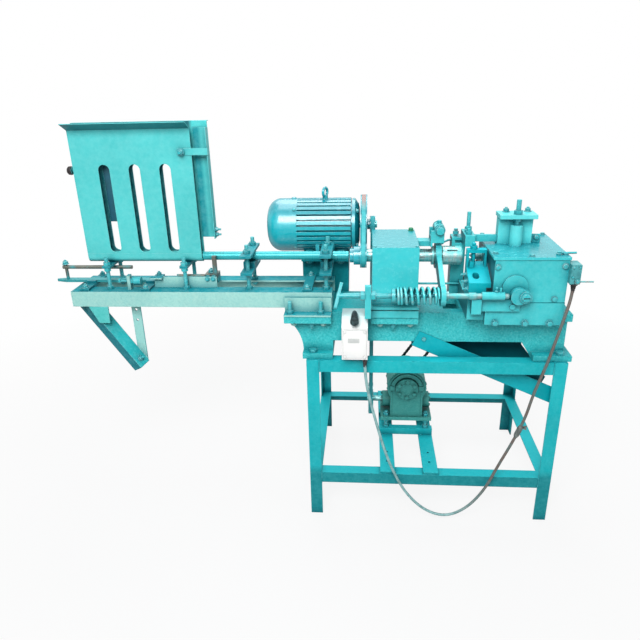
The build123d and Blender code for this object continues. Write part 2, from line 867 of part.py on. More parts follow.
# Pusher: flat bar with a pointed tip, link pin, rail rod, clamp block and finger
with BuildPart() as pusher_bar:
    with BuildSketch(Plane.XY.offset(pusher_z)):
        with BuildLine():
            Polyline(
                (pusher_left, spindle_y - pusher_tip_half),
                (pusher_left + pusher_tip_length, spindle_y - pusher_width / 2),
                (pusher_right, spindle_y - pusher_width / 2),
                (pusher_right, spindle_y + pusher_width / 2),
                (pusher_left + pusher_tip_length, spindle_y + pusher_width / 2),
                (pusher_left, spindle_y + pusher_tip_half),
                close=True,
            )
        make_face()
    extrude(amount=pusher_thickness)
    pin_over = 2 * push_pin_radius
    bar_z(push_pin_x, spindle_y, (pusher_z, push_rail_z + pin_over), push_pin_radius)
    rail_ends = (push_pin_x - pin_over, hopper_left + push_rail_end)
    bar_x(rail_ends, spindle_y, push_rail_z, push_rail_radius)
    finger_front = spindle_y - tube_radius - finger_reach
    dog_x = (pusher_right - dog_length, pusher_right)
    dog_z = pusher_z + pusher_thickness
    block(dog_x, (finger_front, spindle_y + dog_overlap), (dog_z, dog_z + dog_height))
    finger_y = (finger_front, finger_front + finger_width)
    block((dog_x[1] - finger_width, dog_x[1]), finger_y, (dog_z, spindle_z + finger_rise))
    pin_y, pin_z = spindle_y - dog_pin_offset[0], dog_z + dog_pin_offset[1]
    bar_x((dog_x[0] - dog_pin_length, dog_x[0]), pin_y, pin_z, push_pin_radius)

# Guide plate and stop post that stand on the front rail
with BuildPart() as feed_guides:
    plate_y = table_front + table_leg - guide_plate_inset
    plate_top = table_top + guide_plate_height
    plate_ends = (hopper_left + guide_plate_start, pusher_right)
    block(plate_ends, (plate_y, plate_y + guide_plate), (table_top, plate_top))
    tab_x = (hopper_left + guide_tab_x[0], hopper_left + guide_tab_x[1])
    block(tab_x, (plate_y - guide_tab_reach, plate_y), (plate_top - guide_plate, plate_top))
    post = (stop_x - stop_half[0], stop_x + stop_half[0])
    block(post, (stop_y - stop_half[1], stop_y + stop_half[1]), (table_top, table_top + stop_height))
    bar_x(post, stop_y, stop_z, stop_radius + fit_gap, Mode.SUBTRACT)

# Stop screw with its rubber bumper
with BuildPart() as stop_screw:
    bar_x((stop_x - stop_ends[0], stop_x + stop_ends[1]), stop_y, stop_z, stop_radius)
    bar_x((stop_x + bumper_ends[0], stop_x + bumper_ends[1]), stop_y, stop_z, bumper_radius)
    hexagon((stop_x + stop_half[0] + slip_gap, stop_y, stop_z), (1, 0, 0), 17, 8)
    hexagon((stop_x - stop_ends[0], stop_y, stop_z), (1, 0, 0), 13, 6)

# Motor housing with cooling fins, cast feet and eye bolt
eye_x = (housing_left + shield_left) / 2
foot_span = (housing_left + motor_foot_inset[0], shield_left - motor_foot_inset[1])
motor_bolt_x = (foot_span[0] + motor_bolt_inset, foot_span[1] - motor_bolt_inset)
with BuildPart() as motor_housing:
    bar_x((housing_left, shield_left), motor_y, motor_z, motor_core_radius)
    with BuildSketch(side_plane(housing_left)):
        with Locations((motor_y, motor_z)):
            with PolarLocations((motor_core_radius + motor_radius) / 2 - 2, fin_count, fin_turn):
                Rectangle(motor_radius - motor_core_radius + 4, fin_width)
    extrude(amount=housing_length - 4)
    for side in (-1, 1):
        span = sorted((motor_y + side * motor_foot_start, motor_y + side * motor_foot_reach))
        block(foot_span, span, (motor_foot_z, motor_foot_z + motor_foot_thickness))
        web = sorted(motor_y + side * reach for reach in motor_web_y)
        for x in (foot_span[0] + motor_web_x[0], foot_span[1] - motor_web_x[1]):
            block((x, x + motor_web), web, (motor_foot_z, motor_z - motor_web_drop))
        for x in motor_bolt_x:
            hole = motor_y + side * motor_bolt_spread
            base = (motor_foot_z, motor_foot_z + motor_foot_thickness)
            bar_z(x, hole, base, bolt_radius + hole_gap, Mode.SUBTRACT)
    bar_x((housing_left + motor_end_wall, shield_left), motor_y, motor_z, motor_bore, Mode.SUBTRACT)
    bar_x((housing_left, shield_left), motor_y, motor_z, shaft_radius + fit_gap, Mode.SUBTRACT)
    bar_z(eye_x, motor_y, (motor_z + motor_core_radius, motor_z + motor_radius + 8), eye_stem)
    with Locations(Location((eye_x, motor_y, motor_z + motor_radius + eye_rise), (90, 65, 0))):
        Torus(eye_ring, eye_wire)

# Motor drive-end shield
with BuildPart() as motor_shield:
    with BuildSketch(Plane.XZ.offset(-motor_y)):
        with BuildLine():
            Polyline(
                (shield_left, motor_z + shaft_radius + fit_gap),
                (shield_left, motor_z + motor_radius - 2),
                (shield_left + 0.4 * shield_length, motor_z + motor_radius - 2),
                (shield_right - 0.2 * shield_length, motor_z + motor_core_radius - 6),
                (shield_right, motor_z + motor_core_radius - 20),
                (shield_right, motor_z + shaft_radius + fit_gap),
                close=True,
            )
        make_face()
    revolve(axis=Axis((0, motor_y, motor_z), (1, 0, 0)))

# Motor fan cover: a domed cup over the fan, with air slots in its end
with BuildPart() as motor_fan_cover:
    with BuildSketch(Plane.XZ.offset(-motor_y)):
        with BuildLine():
            rim_z = motor_z + motor_radius - sheet
            rim = Line((housing_left, rim_z), (fan_cover_left + fan_dome, rim_z))
            dome = TangentArc(rim @ 1, (fan_cover_left, rim_z - fan_dome), tangent=rim % 1)
            Line(dome @ 1, (fan_cover_left, motor_z + 6))
            offset(amount=sheet, side=Side.RIGHT)
        make_face()
    revolve(axis=Axis((0, motor_y, motor_z), (1, 0, 0)))
    with BuildSketch(side_plane(fan_cover_left - sheet - 1)):
        with Locations((motor_y, motor_z)):
            for ring, slots in ((22, 8), (42, 14)):
                with PolarLocations(ring, slots):
                    SlotOverall(14, 6)
    extrude(amount=sheet + 4, mode=Mode.SUBTRACT)

# Motor rotor, shaft and fan
rotor_clear = 0.8
shaft_right = feed_belt_x + pulley_width / 2 + 4
with BuildPart() as motor_rotor:
    bar_x((fan_cover_left + 22, shaft_right), motor_y, motor_z, shaft_radius)
    bar_x((housing_left + 34, shield_left - 20), motor_y, motor_z, motor_bore - rotor_clear)
    bar_x((fan_cover_left + 30, housing_left - 14), motor_y, motor_z, 24)
    with BuildSketch(side_plane(fan_cover_left + 34)):
        with Locations((motor_y, motor_z)):
            with PolarLocations(42, 8):
                Rectangle(44, 3)
    extrude(amount=26)

# Motor pulleys
pulley_bore = shaft_radius
with BuildPart() as motor_pulley:
    grooved_pulley(main_belt_x, motor_y, motor_z, main_pulley_radius, pulley_width)
    face = main_belt_x + pulley_width / 2
    for side in (face - 7, main_belt_x - pulley_width / 2):
        bar_x((side, side + 7), motor_y, motor_z, main_pulley_radius - 24, Mode.SUBTRACT)
        bar_x((side, side + 7), motor_y, motor_z, 30)
    bar_x((shield_right, feed_belt_x), motor_y, motor_z, pulley_bore, Mode.SUBTRACT)

with BuildPart() as feed_pulley:
    grooved_pulley(feed_belt_x, motor_y, motor_z, feed_pulley_radius, pulley_width - 4)
    bar_x((main_belt_x + pulley_width / 2 + slip_gap, feed_belt_x), motor_y, motor_z, 17)
    bar_x((main_belt_x, shaft_right), motor_y, motor_z, pulley_bore, Mode.SUBTRACT)

# Motor stand behind the bed: back plate, table plate and two gussets
with BuildPart() as motor_stand:
    plate_x = (foot_span[0] - 6, foot_span[1] + 6)
    plate_y_span = (bed_back, motor_y + motor_foot_reach + 6)
    reach_front = motor_y - motor_foot_reach - 6
    block(plate_x, (reach_front, plate_y_span[1]), (motor_foot_z - stand_plate, motor_foot_z))
    block(plate_x, (bed_back, bed_back + stand_plate), (bed_top - 72, motor_foot_z - stand_plate))
    for x in (plate_x[0], plate_x[1] - 8):
        with BuildSketch(side_plane(x)):
            with BuildLine():
                Polyline(
                    (bed_back + stand_plate, bed_top - 40),
                    (bed_back + stand_plate, motor_foot_z - stand_plate),
                    (plate_y_span[1] - 10, motor_foot_z - stand_plate),
                    close=True,
                )
            make_face()
        extrude(amount=8)
    for x in motor_bolt_x:
        for side in (-1, 1):
            hole = motor_y + side * motor_bolt_spread
            base = (motor_foot_z - stand_plate, motor_foot_z)
            bar_z(x, hole, base, bolt_radius + hole_gap, Mode.SUBTRACT)

# Headstock casting: base, curb, two bearing pedestals and the arm with ears for the fork pivot
arm_z = (spindle_z + sleeve_radius + 5, spindle_z + pedestal_top_rise)
boss_half = strap_length / 6
ear_inner = boss_half + 1.5
with BuildPart() as headstock_base:
    span = (headstock_left, headstock_right)
    depth = (pad_front - 5, bed_back)
    neck_z = bed_top + base_thickness
    block(span, depth, (bed_top, neck_z))
    necked = (headstock_left + base_neck_inset, headstock_right - base_neck_inset)
    block(necked, (depth[0] + base_neck_inset, bed_back), (neck_z, neck_z + base_neck))
    block(span, (depth[0] - 2, bed_back), (neck_z + base_neck, base_top))
    curb = (headstock_left + cover_side_inset, headstock_right - cover_side_inset)
    block(curb, (pad_front + cover_front_inset, bed_back), (base_top, cover_bottom))
    pedestals = (headstock_left + pedestal_inset, headstock_right - pedestal_inset - pedestal_width)
    for x in pedestals:
        with BuildSketch(side_plane(x)):
            with Locations((spindle_y, spindle_z)):
                Circle(pedestal_top_rise)
            with BuildLine():
                Polyline(
                    (spindle_y - pedestal_half, cover_bottom),
                    (spindle_y - pedestal_top_rise, spindle_z),
                    (spindle_y + pedestal_top_rise, spindle_z),
                    (spindle_y + pedestal_half, cover_bottom),
                    close=True,
                )
            make_face()
        extrude(amount=pedestal_width)
    arm_left = headstock_right - pedestal_inset - pedestal_width / 2
    block((arm_left, lever_x - 14), (spindle_y - boss_half, spindle_y + boss_half), arm_z)
    bar_x((headstock_left, headstock_right), spindle_y, spindle_z, bearing_radius, Mode.SUBTRACT)
    ear_out = ear_inner + ear_thickness
    block((lever_x - 26, lever_x - 20), (spindle_y - ear_out, spindle_y + ear_out), (arm_z[0], arm_z[1] + 14))
    for y in ((spindle_y - ear_out, spindle_y - ear_inner), (spindle_y + ear_inner, spindle_y + ear_out)):
        block((lever_x - 26, lever_x + 14), y, (arm_z[1] - 4, pivot_z))
        bar_y(lever_x, y, pivot_z, 14)
        block((lever_x - 26, lever_x - 14), y, (pivot_z - 2, pivot_z + 14), Mode.SUBTRACT)
    between_ears = (spindle_y - ear_inner, spindle_y + ear_inner)
    block((lever_x - 20, lever_x + 30), between_ears, (arm_z[0], pivot_z), Mode.SUBTRACT)
    bar_y(lever_x, (spindle_y - ear_out - 5, spindle_y + ear_out + 5), pivot_z, pivot_radius)

# Spindle bearings
with BuildPart() as spindle_bearings:
    for x in pedestals:
        bar_x((x, x + pedestal_width), spindle_y, spindle_z, bearing_radius)
        bar_x((x, x + pedestal_width), spindle_y, spindle_z, spindle_radius + fit_gap, Mode.SUBTRACT)

# Sheet cover over the headstock
with BuildPart() as headstock_cover:
    outer_y = (pad_front + cover_front_inset, bed_back)
    block(curb, outer_y, (cover_bottom, cover_top))
    inner_x = (curb[0] + cover_sheet, curb[1] - cover_sheet)
    inner_y = (outer_y[0] + cover_sheet, outer_y[1] - cover_sheet)
    block(inner_x, inner_y, (cover_bottom, cover_top - cover_sheet), Mode.SUBTRACT)
    bar_x((headstock_left, headstock_right), spindle_y, spindle_z, spindle_radius + 4, Mode.SUBTRACT)
    arm_gap = (spindle_y - boss_half - 1, spindle_y + boss_half + 1)
    block((headstock_right - 10, headstock_right), arm_gap, (arm_z[0] - 1, arm_z[1] + 1), Mode.SUBTRACT)

# Hollow spindle
with BuildPart() as spindle:
    bar_x((cone_left, spindle_right), spindle_y, spindle_z, spindle_radius)
    bar_x((spindle_right - 4, spindle_right), spindle_y, spindle_z, spindle_radius + 1)
    bar_x((cone_left, spindle_right), spindle_y, spindle_z, spindle_bore, Mode.SUBTRACT)

# Stepped pulley on the tail of the spindle
with BuildPart() as cone_pulley:
    start = cone_left
    for width, radius in cone_steps:
        bar_x((start, start + width), spindle_y, spindle_z, radius)
        start += width
    groove = (main_belt_x - belt_width / 2 - belt_gap, main_belt_x + belt_width / 2 + belt_gap)
    bar_x(groove, spindle_y, spindle_z, cone_steps[2][1] + 1, Mode.SUBTRACT)
    bar_x(groove, spindle_y, spindle_z, cone_steps[2][1] - belt_thickness - belt_gap)
    bar_x((cone_left, cone_right), spindle_y, spindle_z, spindle_radius, Mode.SUBTRACT)

# Drive belts
motor_centre = (motor_y, motor_z)
with BuildPart() as main_belt:
    plane = side_plane(main_belt_x)
    ends = (motor_centre, main_pulley_radius, (spindle_y, spindle_z), cone_steps[2][1])
    belt_loop(plane, *ends, belt_thickness, belt_width)

with BuildPart() as feed_belt:
    plane = side_plane(feed_belt_x)
    ends = (motor_centre, feed_pulley_radius, (reducer_y, worm_z), input_pulley_radius)
    belt_loop(plane, *ends, belt_thickness, belt_width)

# Sliding sleeve on the spindle, with the groove that the fork ring runs in
neck_half = ring_width / 2 + sleeve_play
sleeve_right = spindle_right - 4 - slip_gap
with BuildPart() as sliding_sleeve:
    bar_x((lever_x - neck_half - 6, sleeve_right), spindle_y, spindle_z, sleeve_radius)
    neck = (lever_x - neck_half, lever_x + neck_half)
    bar_x(neck, spindle_y, spindle_z, sleeve_radius + 1, Mode.SUBTRACT)
    bar_x(neck, spindle_y, spindle_z, sleeve_neck)
    keyway = (spindle_z + sleeve_radius - 5, spindle_z + sleeve_radius + 1)
    block((neck[1] + 4, neck[1] + 38), (spindle_y - 4, spindle_y + 4), keyway, Mode.SUBTRACT)
    bar_x((lever_x - 60, spindle_right), spindle_y, spindle_z, spindle_radius + fit_gap, Mode.SUBTRACT)

# Fork lever: pivot boss, ring around the sleeve and a slanted arm down to the spring rod eye
with BuildPart() as fork_lever:
    lever_left = lever_x - lever_thickness / 2
    with BuildSketch(side_plane(lever_left)):
        with Locations((spindle_y, spindle_z)):
            Circle(ring_outer)
        with Locations((rod_y, rod_z)):
            Circle(eye_radius)
        with BuildLine():
            Polyline(
                (spindle_y - 14, spindle_z + 20),
                (spindle_y - 14, pivot_z),
                (spindle_y + 14, pivot_z),
                (spindle_y + 14, spindle_z + 20),
                close=True,
            )
        make_face()
        with BuildLine():
            Polyline(
                (rod_y + 4, rod_z + 26),
                (spindle_y - 34, spindle_z + 14),
                (spindle_y - 18, spindle_z - 30),
                (rod_y + 6, rod_z - 12),
                close=True,
            )
        make_face()
    extrude(amount=lever_thickness)
    bar_x((lever_x - ring_width / 2, lever_x + ring_width / 2), spindle_y, spindle_z, ring_outer)
    boss = (spindle_y - boss_half, spindle_y + boss_half)
    bar_y(lever_x, boss, pivot_z, 16)
    bar_y(lever_x, boss, pivot_z, pivot_radius + fit_gap, Mode.SUBTRACT)
    bar_x((lever_x - 20, lever_x + 20), spindle_y, spindle_z, ring_inner, Mode.SUBTRACT)
    bar_x((lever_x - 20, lever_x + 20), rod_y, rod_z, spigot_radius + 4, Mode.SUBTRACT)

# Spring post that the tension screw threads through
with BuildPart() as spring_post:
    post_x = (headstock_left - post_width, headstock_left)
    post_y = (rod_y - post_width / 2, rod_y + post_width / 2)
    block(post_x, post_y, (switch_top + 6, rod_z + 30))
    block(post_x, (post_y[0], pad_front + 18), (switch_top + 6, switch_top + 22))
    bar_x(post_x, rod_y, rod_z, rod_radius + fit_gap, Mode.SUBTRACT)

# Tension screw: T handle, lock nuts, rod and spring seat, bored for the push rod's spigot
handle_left = post_x[0] - 82
handle_length = 80
handle_width = 15
handle_half = 4.5
handle_lean = 24
handle_tilt = 15
bore_depth = 60
with BuildPart() as tension_screw:
    bar_x((handle_left, spring_seat_x), rod_y, rod_z, rod_radius)
    facing = (cos(radians(handle_tilt)), 0, -sin(radians(handle_tilt)))
    handle_middle = (handle_left + handle_half, rod_y, rod_z)
    with BuildSketch(Plane(origin=handle_middle, x_dir=(0, 1, 0), z_dir=facing)):
        SlotOverall(handle_length, handle_width, rotation=90 - handle_lean)
    extrude(amount=handle_half, both=True)
    hexagon((post_x[0] - slip_gap, rod_y, rod_z), (-1, 0, 0), 25, 12)
    hexagon((post_x[1] + slip_gap, rod_y, rod_z), (1, 0, 0), 25, 12)
    bar_x((spring_seat_x - 10, spring_seat_x), rod_y, rod_z, spring_radius - 1)
    bore = (spring_seat_x - bore_depth, spring_seat_x)
    bar_x(bore, rod_y, rod_z, spigot_radius + slip_gap, Mode.SUBTRACT)


# Compression spring: each quarter turn of the helix is a pair of tangent arcs
def spring_point(turn):
    tight, opened, closed = spring_tight_turns, spring_open_turns, spring_end_turns
    tight_pitch = spring_wire + 0.8
    free = spring_length - 2 * slip_gap - spring_wire - (tight + closed) * tight_pitch
    run = min(turn, tight) * tight_pitch
    run += max(0, min(turn - tight, opened)) * free / opened
    run += max(0, turn - tight - opened) * tight_pitch
    x = spring_seat_x + slip_gap + spring_wire / 2 + run
    return Vector(x, rod_y + spring_radius * cos(2 * pi * turn), rod_z + spring_radius * sin(2 * pi * turn))


def spring_tangent(turn):
    step = 0.02
    last = spring_tight_turns + spring_open_turns + spring_end_turns
    ahead, behind = spring_point(min(turn + step, last)), spring_point(max(turn - step, 0))
    swing = Vector(0, -sin(2 * pi * turn), cos(2 * pi * turn)) * (2 * pi * spring_radius)
    rise = (ahead.X - behind.X) / (min(turn + step, last) - max(turn - step, 0))
    return (swing + Vector(rise, 0, 0)).normalized()


quarters = round(4 * (spring_tight_turns + spring_open_turns + spring_end_turns))
with BuildPart() as push_spring:
    with BuildLine() as coil:
        for quarter in range(quarters):
            a, b = spring_point(quarter / 4), spring_point((quarter + 1) / 4)
            ta, tb = spring_tangent(quarter / 4), spring_tangent((quarter + 1) / 4)
            chord = b - a
            bend = 2 * (1 - ta.dot(tb))
            along = chord.dot(ta + tb)
            reach = (-along + sqrt(along * along + bend * chord.dot(chord))) / bend
            knee_a, knee_b = a + ta * reach, b - tb * reach
            middle = (knee_a + knee_b) * 0.5
            TangentArc(a, middle, tangent=ta)
            TangentArc(middle, b, tangent=(knee_b - knee_a).normalized())
    with BuildSketch(Plane(origin=spring_point(0), z_dir=spring_tangent(0))):
        Circle(spring_wire / 2)
    sweep(path=coil.line)
samples = [tuple(spring_point(i / 40)) for i in range(10 * quarters + 1)]
spring_gap = min(dist(samples[i], p) for i in range(len(samples)) for p in samples[i + 24 :]) - spring_wire
print("spring turns", quarters / 4, "least gap to itself", round(spring_gap, 2))

# Push rod: nose on the cam, rod, collar and the spigot inside the spring
nose_x = camshaft_x - cam_radius - cam_throw - slip_gap
shoulder = lever_x + lever_thickness / 2 + eye_play
guide_x = (nose_x - rod_guide_ends[0], nose_x - rod_guide_ends[1])
with BuildPart() as push_rod:
    bar_x((shoulder, nose_x - rod_radius), rod_y, rod_z, rod_radius)
    with Locations((nose_x - rod_radius, rod_y, rod_z)):
        Sphere(rod_radius)
    bar_x((shoulder, shoulder + 8), rod_y, rod_z, 14)
    bar_x((guide_x[0] - 36, guide_x[0] - 16), rod_y, rod_z, 10.5)
    bar_x((spring_seat_x - 40, shoulder), rod_y, rod_z, spigot_radius)

# Cam box casting, open at the top, on a wider lower part
low_x = (box_left - box_step_out, box_right + 3)
with BuildPart() as cam_box:
    block(low_x, (box_front, box_back), (bed_top, step_z))
    block((box_left, box_right), (box_front, box_back), (step_z, box_top))
    cavity_x = (box_left + box_wall, box_right - box_wall)
    cavity_y = (box_front + box_wall, box_back - box_wall)
    block(cavity_x, cavity_y, (bed_top + box_wall, box_top), Mode.SUBTRACT)
    bearing_end = box_back + bearing_length
    bar_y(camshaft_x, (box_back, bearing_end), camshaft_z, bearing_boss)
    bar_y(camshaft_x, (box_front, bearing_end), camshaft_z, camshaft_radius + fit_gap, Mode.SUBTRACT)
    boss_left = box_left - quill_boss
    bar_x((boss_left, box_left), spindle_y, spindle_z, quill_radius + 9)
    bar_x((boss_left, box_left + box_wall), spindle_y, spindle_z, quill_radius + fit_gap, Mode.SUBTRACT)

# Front plates of the cam box, with the push rod guide and the slide bar
slide_bar_top = step_z + slide_bar_z[1]
boss_front = plate_front - boss_proud
with BuildPart() as cam_box_plates:
    upper_z = (step_z + weld_gap, box_top)
    plate_y_pair = (plate_front, box_front)
    block((box_left, box_right + 3), plate_y_pair, upper_z)
    block((low_x[0] - 2, low_x[1] + 1), plate_y_pair, (bed_top - 11, step_z - weld_gap))
    boss_x, boss_z = camshaft_x - boss_offset[0], camshaft_z + boss_offset[1]
    bar_y(boss_x, (boss_front, plate_front), boss_z, boss_radius)
    bar_x(guide_x, rod_y, rod_z, rod_guide_radius)
    arm_level = (rod_z - guide_arm_half, rod_z + guide_arm_half)
    block((box_left + 4, guide_x[1]), (rod_y, plate_front), arm_level)
    bar_z(guide_x[1] - oiler_inset, rod_y, (rod_z, rod_z + oiler_rise), oiler_radius)
    bar_x(guide_x, rod_y, rod_z, rod_radius + fit_gap, Mode.SUBTRACT)
    bar_y(camshaft_x, (boss_front, box_front), camshaft_z, camshaft_radius + 2, Mode.SUBTRACT)
    slide_y = (plate_front - slide_bar_depth, plate_front - weld_gap)
    bar_left, bar_low = box_left - slide_bar_ends[0], step_z - slide_bar_z[0]
    block((bar_left, camshaft_x - slide_bar_ends[1]), slide_y, (bar_low, slide_bar_top))
    head_y = (slide_y[0] - slide_head_proud, slide_y[1])
    block((bar_left - slide_head, bar_left), head_y, (bar_low - 5, slide_bar_top + 4))
    pin_y = (slide_y[0] - slide_pin[2], slide_y[0])
    bar_y(camshaft_x - slide_pin[0], pin_y, step_z - slide_pin[1], slide_pin[1])

# Cam box lid
lid_x = (box_left - lid_overhang, box_right + lid_overhang)
lid_y = (plate_front - 3, box_back + 3)
with BuildPart() as cam_box_lid:
    block(lid_x, lid_y, (box_top, lid_top))

# Bracket and spring cylinder on the lid
bracket_top = lid_top + bracket_rise
cap_bottom = bracket_top - bracket_cap
with BuildPart() as lid_bracket:
    web_y = bracket_y + bracket_web
    wide = (bracket_x - bracket_half, bracket_x + bracket_half)
    block(wide, (web_y, web_y + bracket_sheet), (lid_top, cap_bottom))
    for x in (wide[0], wide[1] - bracket_sheet):
        side_y = (web_y + bracket_sheet, web_y + bracket_sheet + bracket_side)
        block((x, x + bracket_sheet), side_y, (lid_top, cap_bottom))
    cap_y = (bracket_y - cap_edges[1], bracket_y + cap_edges[2])
    block((wide[0] - cap_edges[0], wide[1] + cap_edges[0]), cap_y, (cap_bottom, bracket_top))
    bar_z(bracket_x, bracket_y, (cap_bottom, bracket_top), adjuster_radius + fit_gap, Mode.SUBTRACT)
    cylinder_top = lid_top + cylinder_height
    bar_z(bracket_x, bracket_y, (lid_top, cylinder_top), cylinder_radius)
    bore_z = (cylinder_top - cylinder_bore, cylinder_top)
    bar_z(bracket_x, bracket_y, bore_z, adjuster_radius + slip_gap, Mode.SUBTRACT)

# Adjusting screw through the bracket
with BuildPart() as adjusting_screw:
    ends = (cylinder_top - cylinder_bore + 2, bracket_top + adjuster_rise)
    bar_z(bracket_x, bracket_y, ends, adjuster_radius)
    hexagon((bracket_x, bracket_y, bracket_top + slip_gap), (0, 0, 1), adjuster_nut, adjuster_nut / 2)
    hexagon((bracket_x, bracket_y, cap_bottom - slip_gap), (0, 0, -1), adjuster_nut, 8)

# Camshaft with two inner cams and its chain wheel
cam_front = rod_y - cam_width / 2
with BuildPart() as camshaft:
    bar_y(camshaft_x, (cam_front - 6, chain_y + 14), camshaft_z, camshaft_radius)
    for offset_y, throw in ((-70, 9), (10, -9)):
        bar_y(camshaft_x + throw, (spindle_y + offset_y, spindle_y + offset_y + 20), camshaft_z, 32)
    bar_y(camshaft_x, (chain_y - sprocket_half, chain_y + sprocket_half), camshaft_z, sprocket_radius)

# Eccentric cam outside the front plate
with BuildPart() as eccentric_cam:
    bar_y(camshaft_x - cam_throw, (cam_front, cam_front + cam_width), camshaft_z, cam_radius)
    bar_y(camshaft_x, (cam_front - 5, boss_front - slip_gap), camshaft_z, 17)
    bar_y(camshaft_x, (cam_front - 6, plate_front), camshaft_z, camshaft_radius, Mode.SUBTRACT)

# Chain from the reducer to the camshaft
with BuildPart() as drive_chain:
    plane = front_plane(chain_y)
    wheel_centre, cam_centre = (reducer_x, wheel_z), (camshaft_x, camshaft_z)
    chain_outer = sprocket_radius + slip_gap + chain_thickness
    belt_loop(plane, wheel_centre, chain_outer, cam_centre, chain_outer, chain_thickness, chain_width)

# Drill quill with its chuck and bit
with BuildPart() as drill_quill:
    chuck_x = (box_left - chuck_ends[0], box_left - chuck_ends[1])
    bar_x((chuck_x[1], box_left + quill_length), spindle_y, spindle_z, quill_radius)
    bar_x(chuck_x, spindle_y, spindle_z, chuck_radius)
    bar_x((chuck_x[0] - bit_length, chuck_x[0]), spindle_y, spindle_z, bit_radius)

# Tool rest on the bed: slide base with its dovetail, and the rear tool post
slide_x = (spindle_right + tool_gap, box_left - slide_gap)
dovetail_z = bed_top + dovetail_rise
slide_mid = sum(slide_x) / 2
with BuildPart() as tool_rest:
    rest_y = (bed_front - rest_reach[0], spindle_y + rest_reach[1])
    block(slide_x, rest_y, (bed_top, dovetail_z - dovetail_depth))
    with BuildSketch(front_plane(rest_y[0])):
        with Locations((slide_mid, dovetail_z - dovetail_depth / 2)):
            Trapezoid(2 * dovetail_half, dovetail_depth, dovetail_angle)
    extrude(amount=-dovetail_length)
    post_y_span = (spindle_y + tool_post_y[0], bed_back - tool_post_y[1])
    post_top = spindle_z + tool_post_rise
    tool_x = (slide_x[0] - tool_post_x[0], slide_x[0] + tool_post_x[1])
    block(tool_x, post_y_span, (bed_top, post_top))
    groove_x = (tool_x[0] + 10, tool_x[1] - 6)
    block(groove_x, (post_y_span[0], post_y_span[0] + 9), (post_top - 17, post_top - 9), Mode.SUBTRACT)
    bolt_spot = (tool_x[0] + 14, post_y_span[0] + 24)
    bar_z(*bolt_spot, (post_top, post_top + 23), small_stud)
    hexagon((*bolt_spot, post_top + 6), (0, 0, 1), *small_nut)
    arm_x = (slide_x[0] + tool_arm_x[0], slide_x[0] + tool_arm_x[1])
    arm_top = spindle_z + tool_arm_rise
    block(arm_x, (spindle_y - 6, post_y_span[0] + 24), (arm_top - tool_arm_depth, arm_top))
    stud_spot = (arm_x[1] - 10, post_y_span[0] + 12)
    bar_z(*stud_spot, (arm_top, arm_top + 56), stud_radius)
    hexagon((*stud_spot, arm_top), (0, 0, 1), nut_across, nut_height)
    for step in arm_pin_y:
        pin_spot = (arm_x[0] + 13, spindle_y + step)
        bar_z(*pin_spot, (arm_top, arm_top + 18), small_stud)
        hexagon((*pin_spot, arm_top), (0, 0, 1), *small_nut)
    beam_x = (arm_x[1], bracket_x - bracket_half - weld_gap)
    block(beam_x, (spindle_y + 3, spindle_y + 13), (arm_top - 20, arm_top + 1))
    stop_rod_x = (headstock_right - cover_side_inset + weld_gap, slide_x[0])
    bar_x(stop_rod_x, rest_y[1] - 6, dovetail_z - 25, 3.5)

# Cross slide on the dovetail, with a wider sloped plate, the form tool and the bridge that clamps it
plate_right = box_left - 4
slide_plate = 14
bridge_wall = 6
bridge_right = box_left - lid_overhang - 5
with BuildPart() as tool_slide:
    front_y = rest_y[0]
    back_y = spindle_y - 45
    front_z = dovetail_z + 40
    top_z = spindle_z - 6
    with BuildSketch(side_plane(slide_x[0])):
        with BuildLine():
            Polyline(
                (front_y, dovetail_z - dovetail_depth + slip_gap),
                (front_y, front_z - slide_plate / 2),
                (back_y, top_z - slide_plate / 2),
                (back_y, dovetail_z - dovetail_depth + slip_gap),
                close=True,
            )
        make_face()
    extrude(amount=slide_x[1] - slide_x[0])
    with BuildSketch(side_plane(slide_x[0])):
        with BuildLine():
            Polyline(
                (front_y, front_z - slide_plate),
                (front_y, front_z),
                (back_y, top_z),
                (back_y, top_z - slide_plate),
                close=True,
            )
        make_face()
    extrude(amount=plate_right - slide_x[0])
    bridge_y = (back_y - 25, back_y - 1)
    bridge_z = (spindle_z + 26, spindle_z + 36)
    block((slide_x[0], bridge_right), bridge_y, bridge_z)
    for x in (slide_x[0] + bridge_wall, bridge_right):
        block((x - bridge_wall, x), bridge_y, (top_z - slide_plate, bridge_z[0]))
    clamp_spot = (slide_x[0] + 20, sum(bridge_y) / 2)
    bar_z(*clamp_spot, (top_z - slide_plate, bridge_z[1] + 18), stud_radius)
    hexagon((*clamp_spot, bridge_z[1]), (0, 0, 1), nut_across, nut_height)
    with BuildSketch(front_plane(front_y)):
        with Locations((slide_mid, dovetail_z - dovetail_depth / 2)):
            Trapezoid(2 * (dovetail_half + slip_gap), dovetail_depth + 2 * slip_gap, dovetail_angle)
    extrude(amount=-dovetail_length - 10, mode=Mode.SUBTRACT)
    block((slide_x[0] + 8, slide_x[0] + 20), (spindle_y - 75, spindle_y - 34), (top_z - 12, top_z + 7))
    with BuildSketch(Plane.XY.offset(dovetail_z + 22)):
        with Locations((slide_mid - 2, front_y + 30)):
            SlotOverall(26, 19, rotation=90)
    extrude(amount=60, mode=Mode.SUBTRACT)

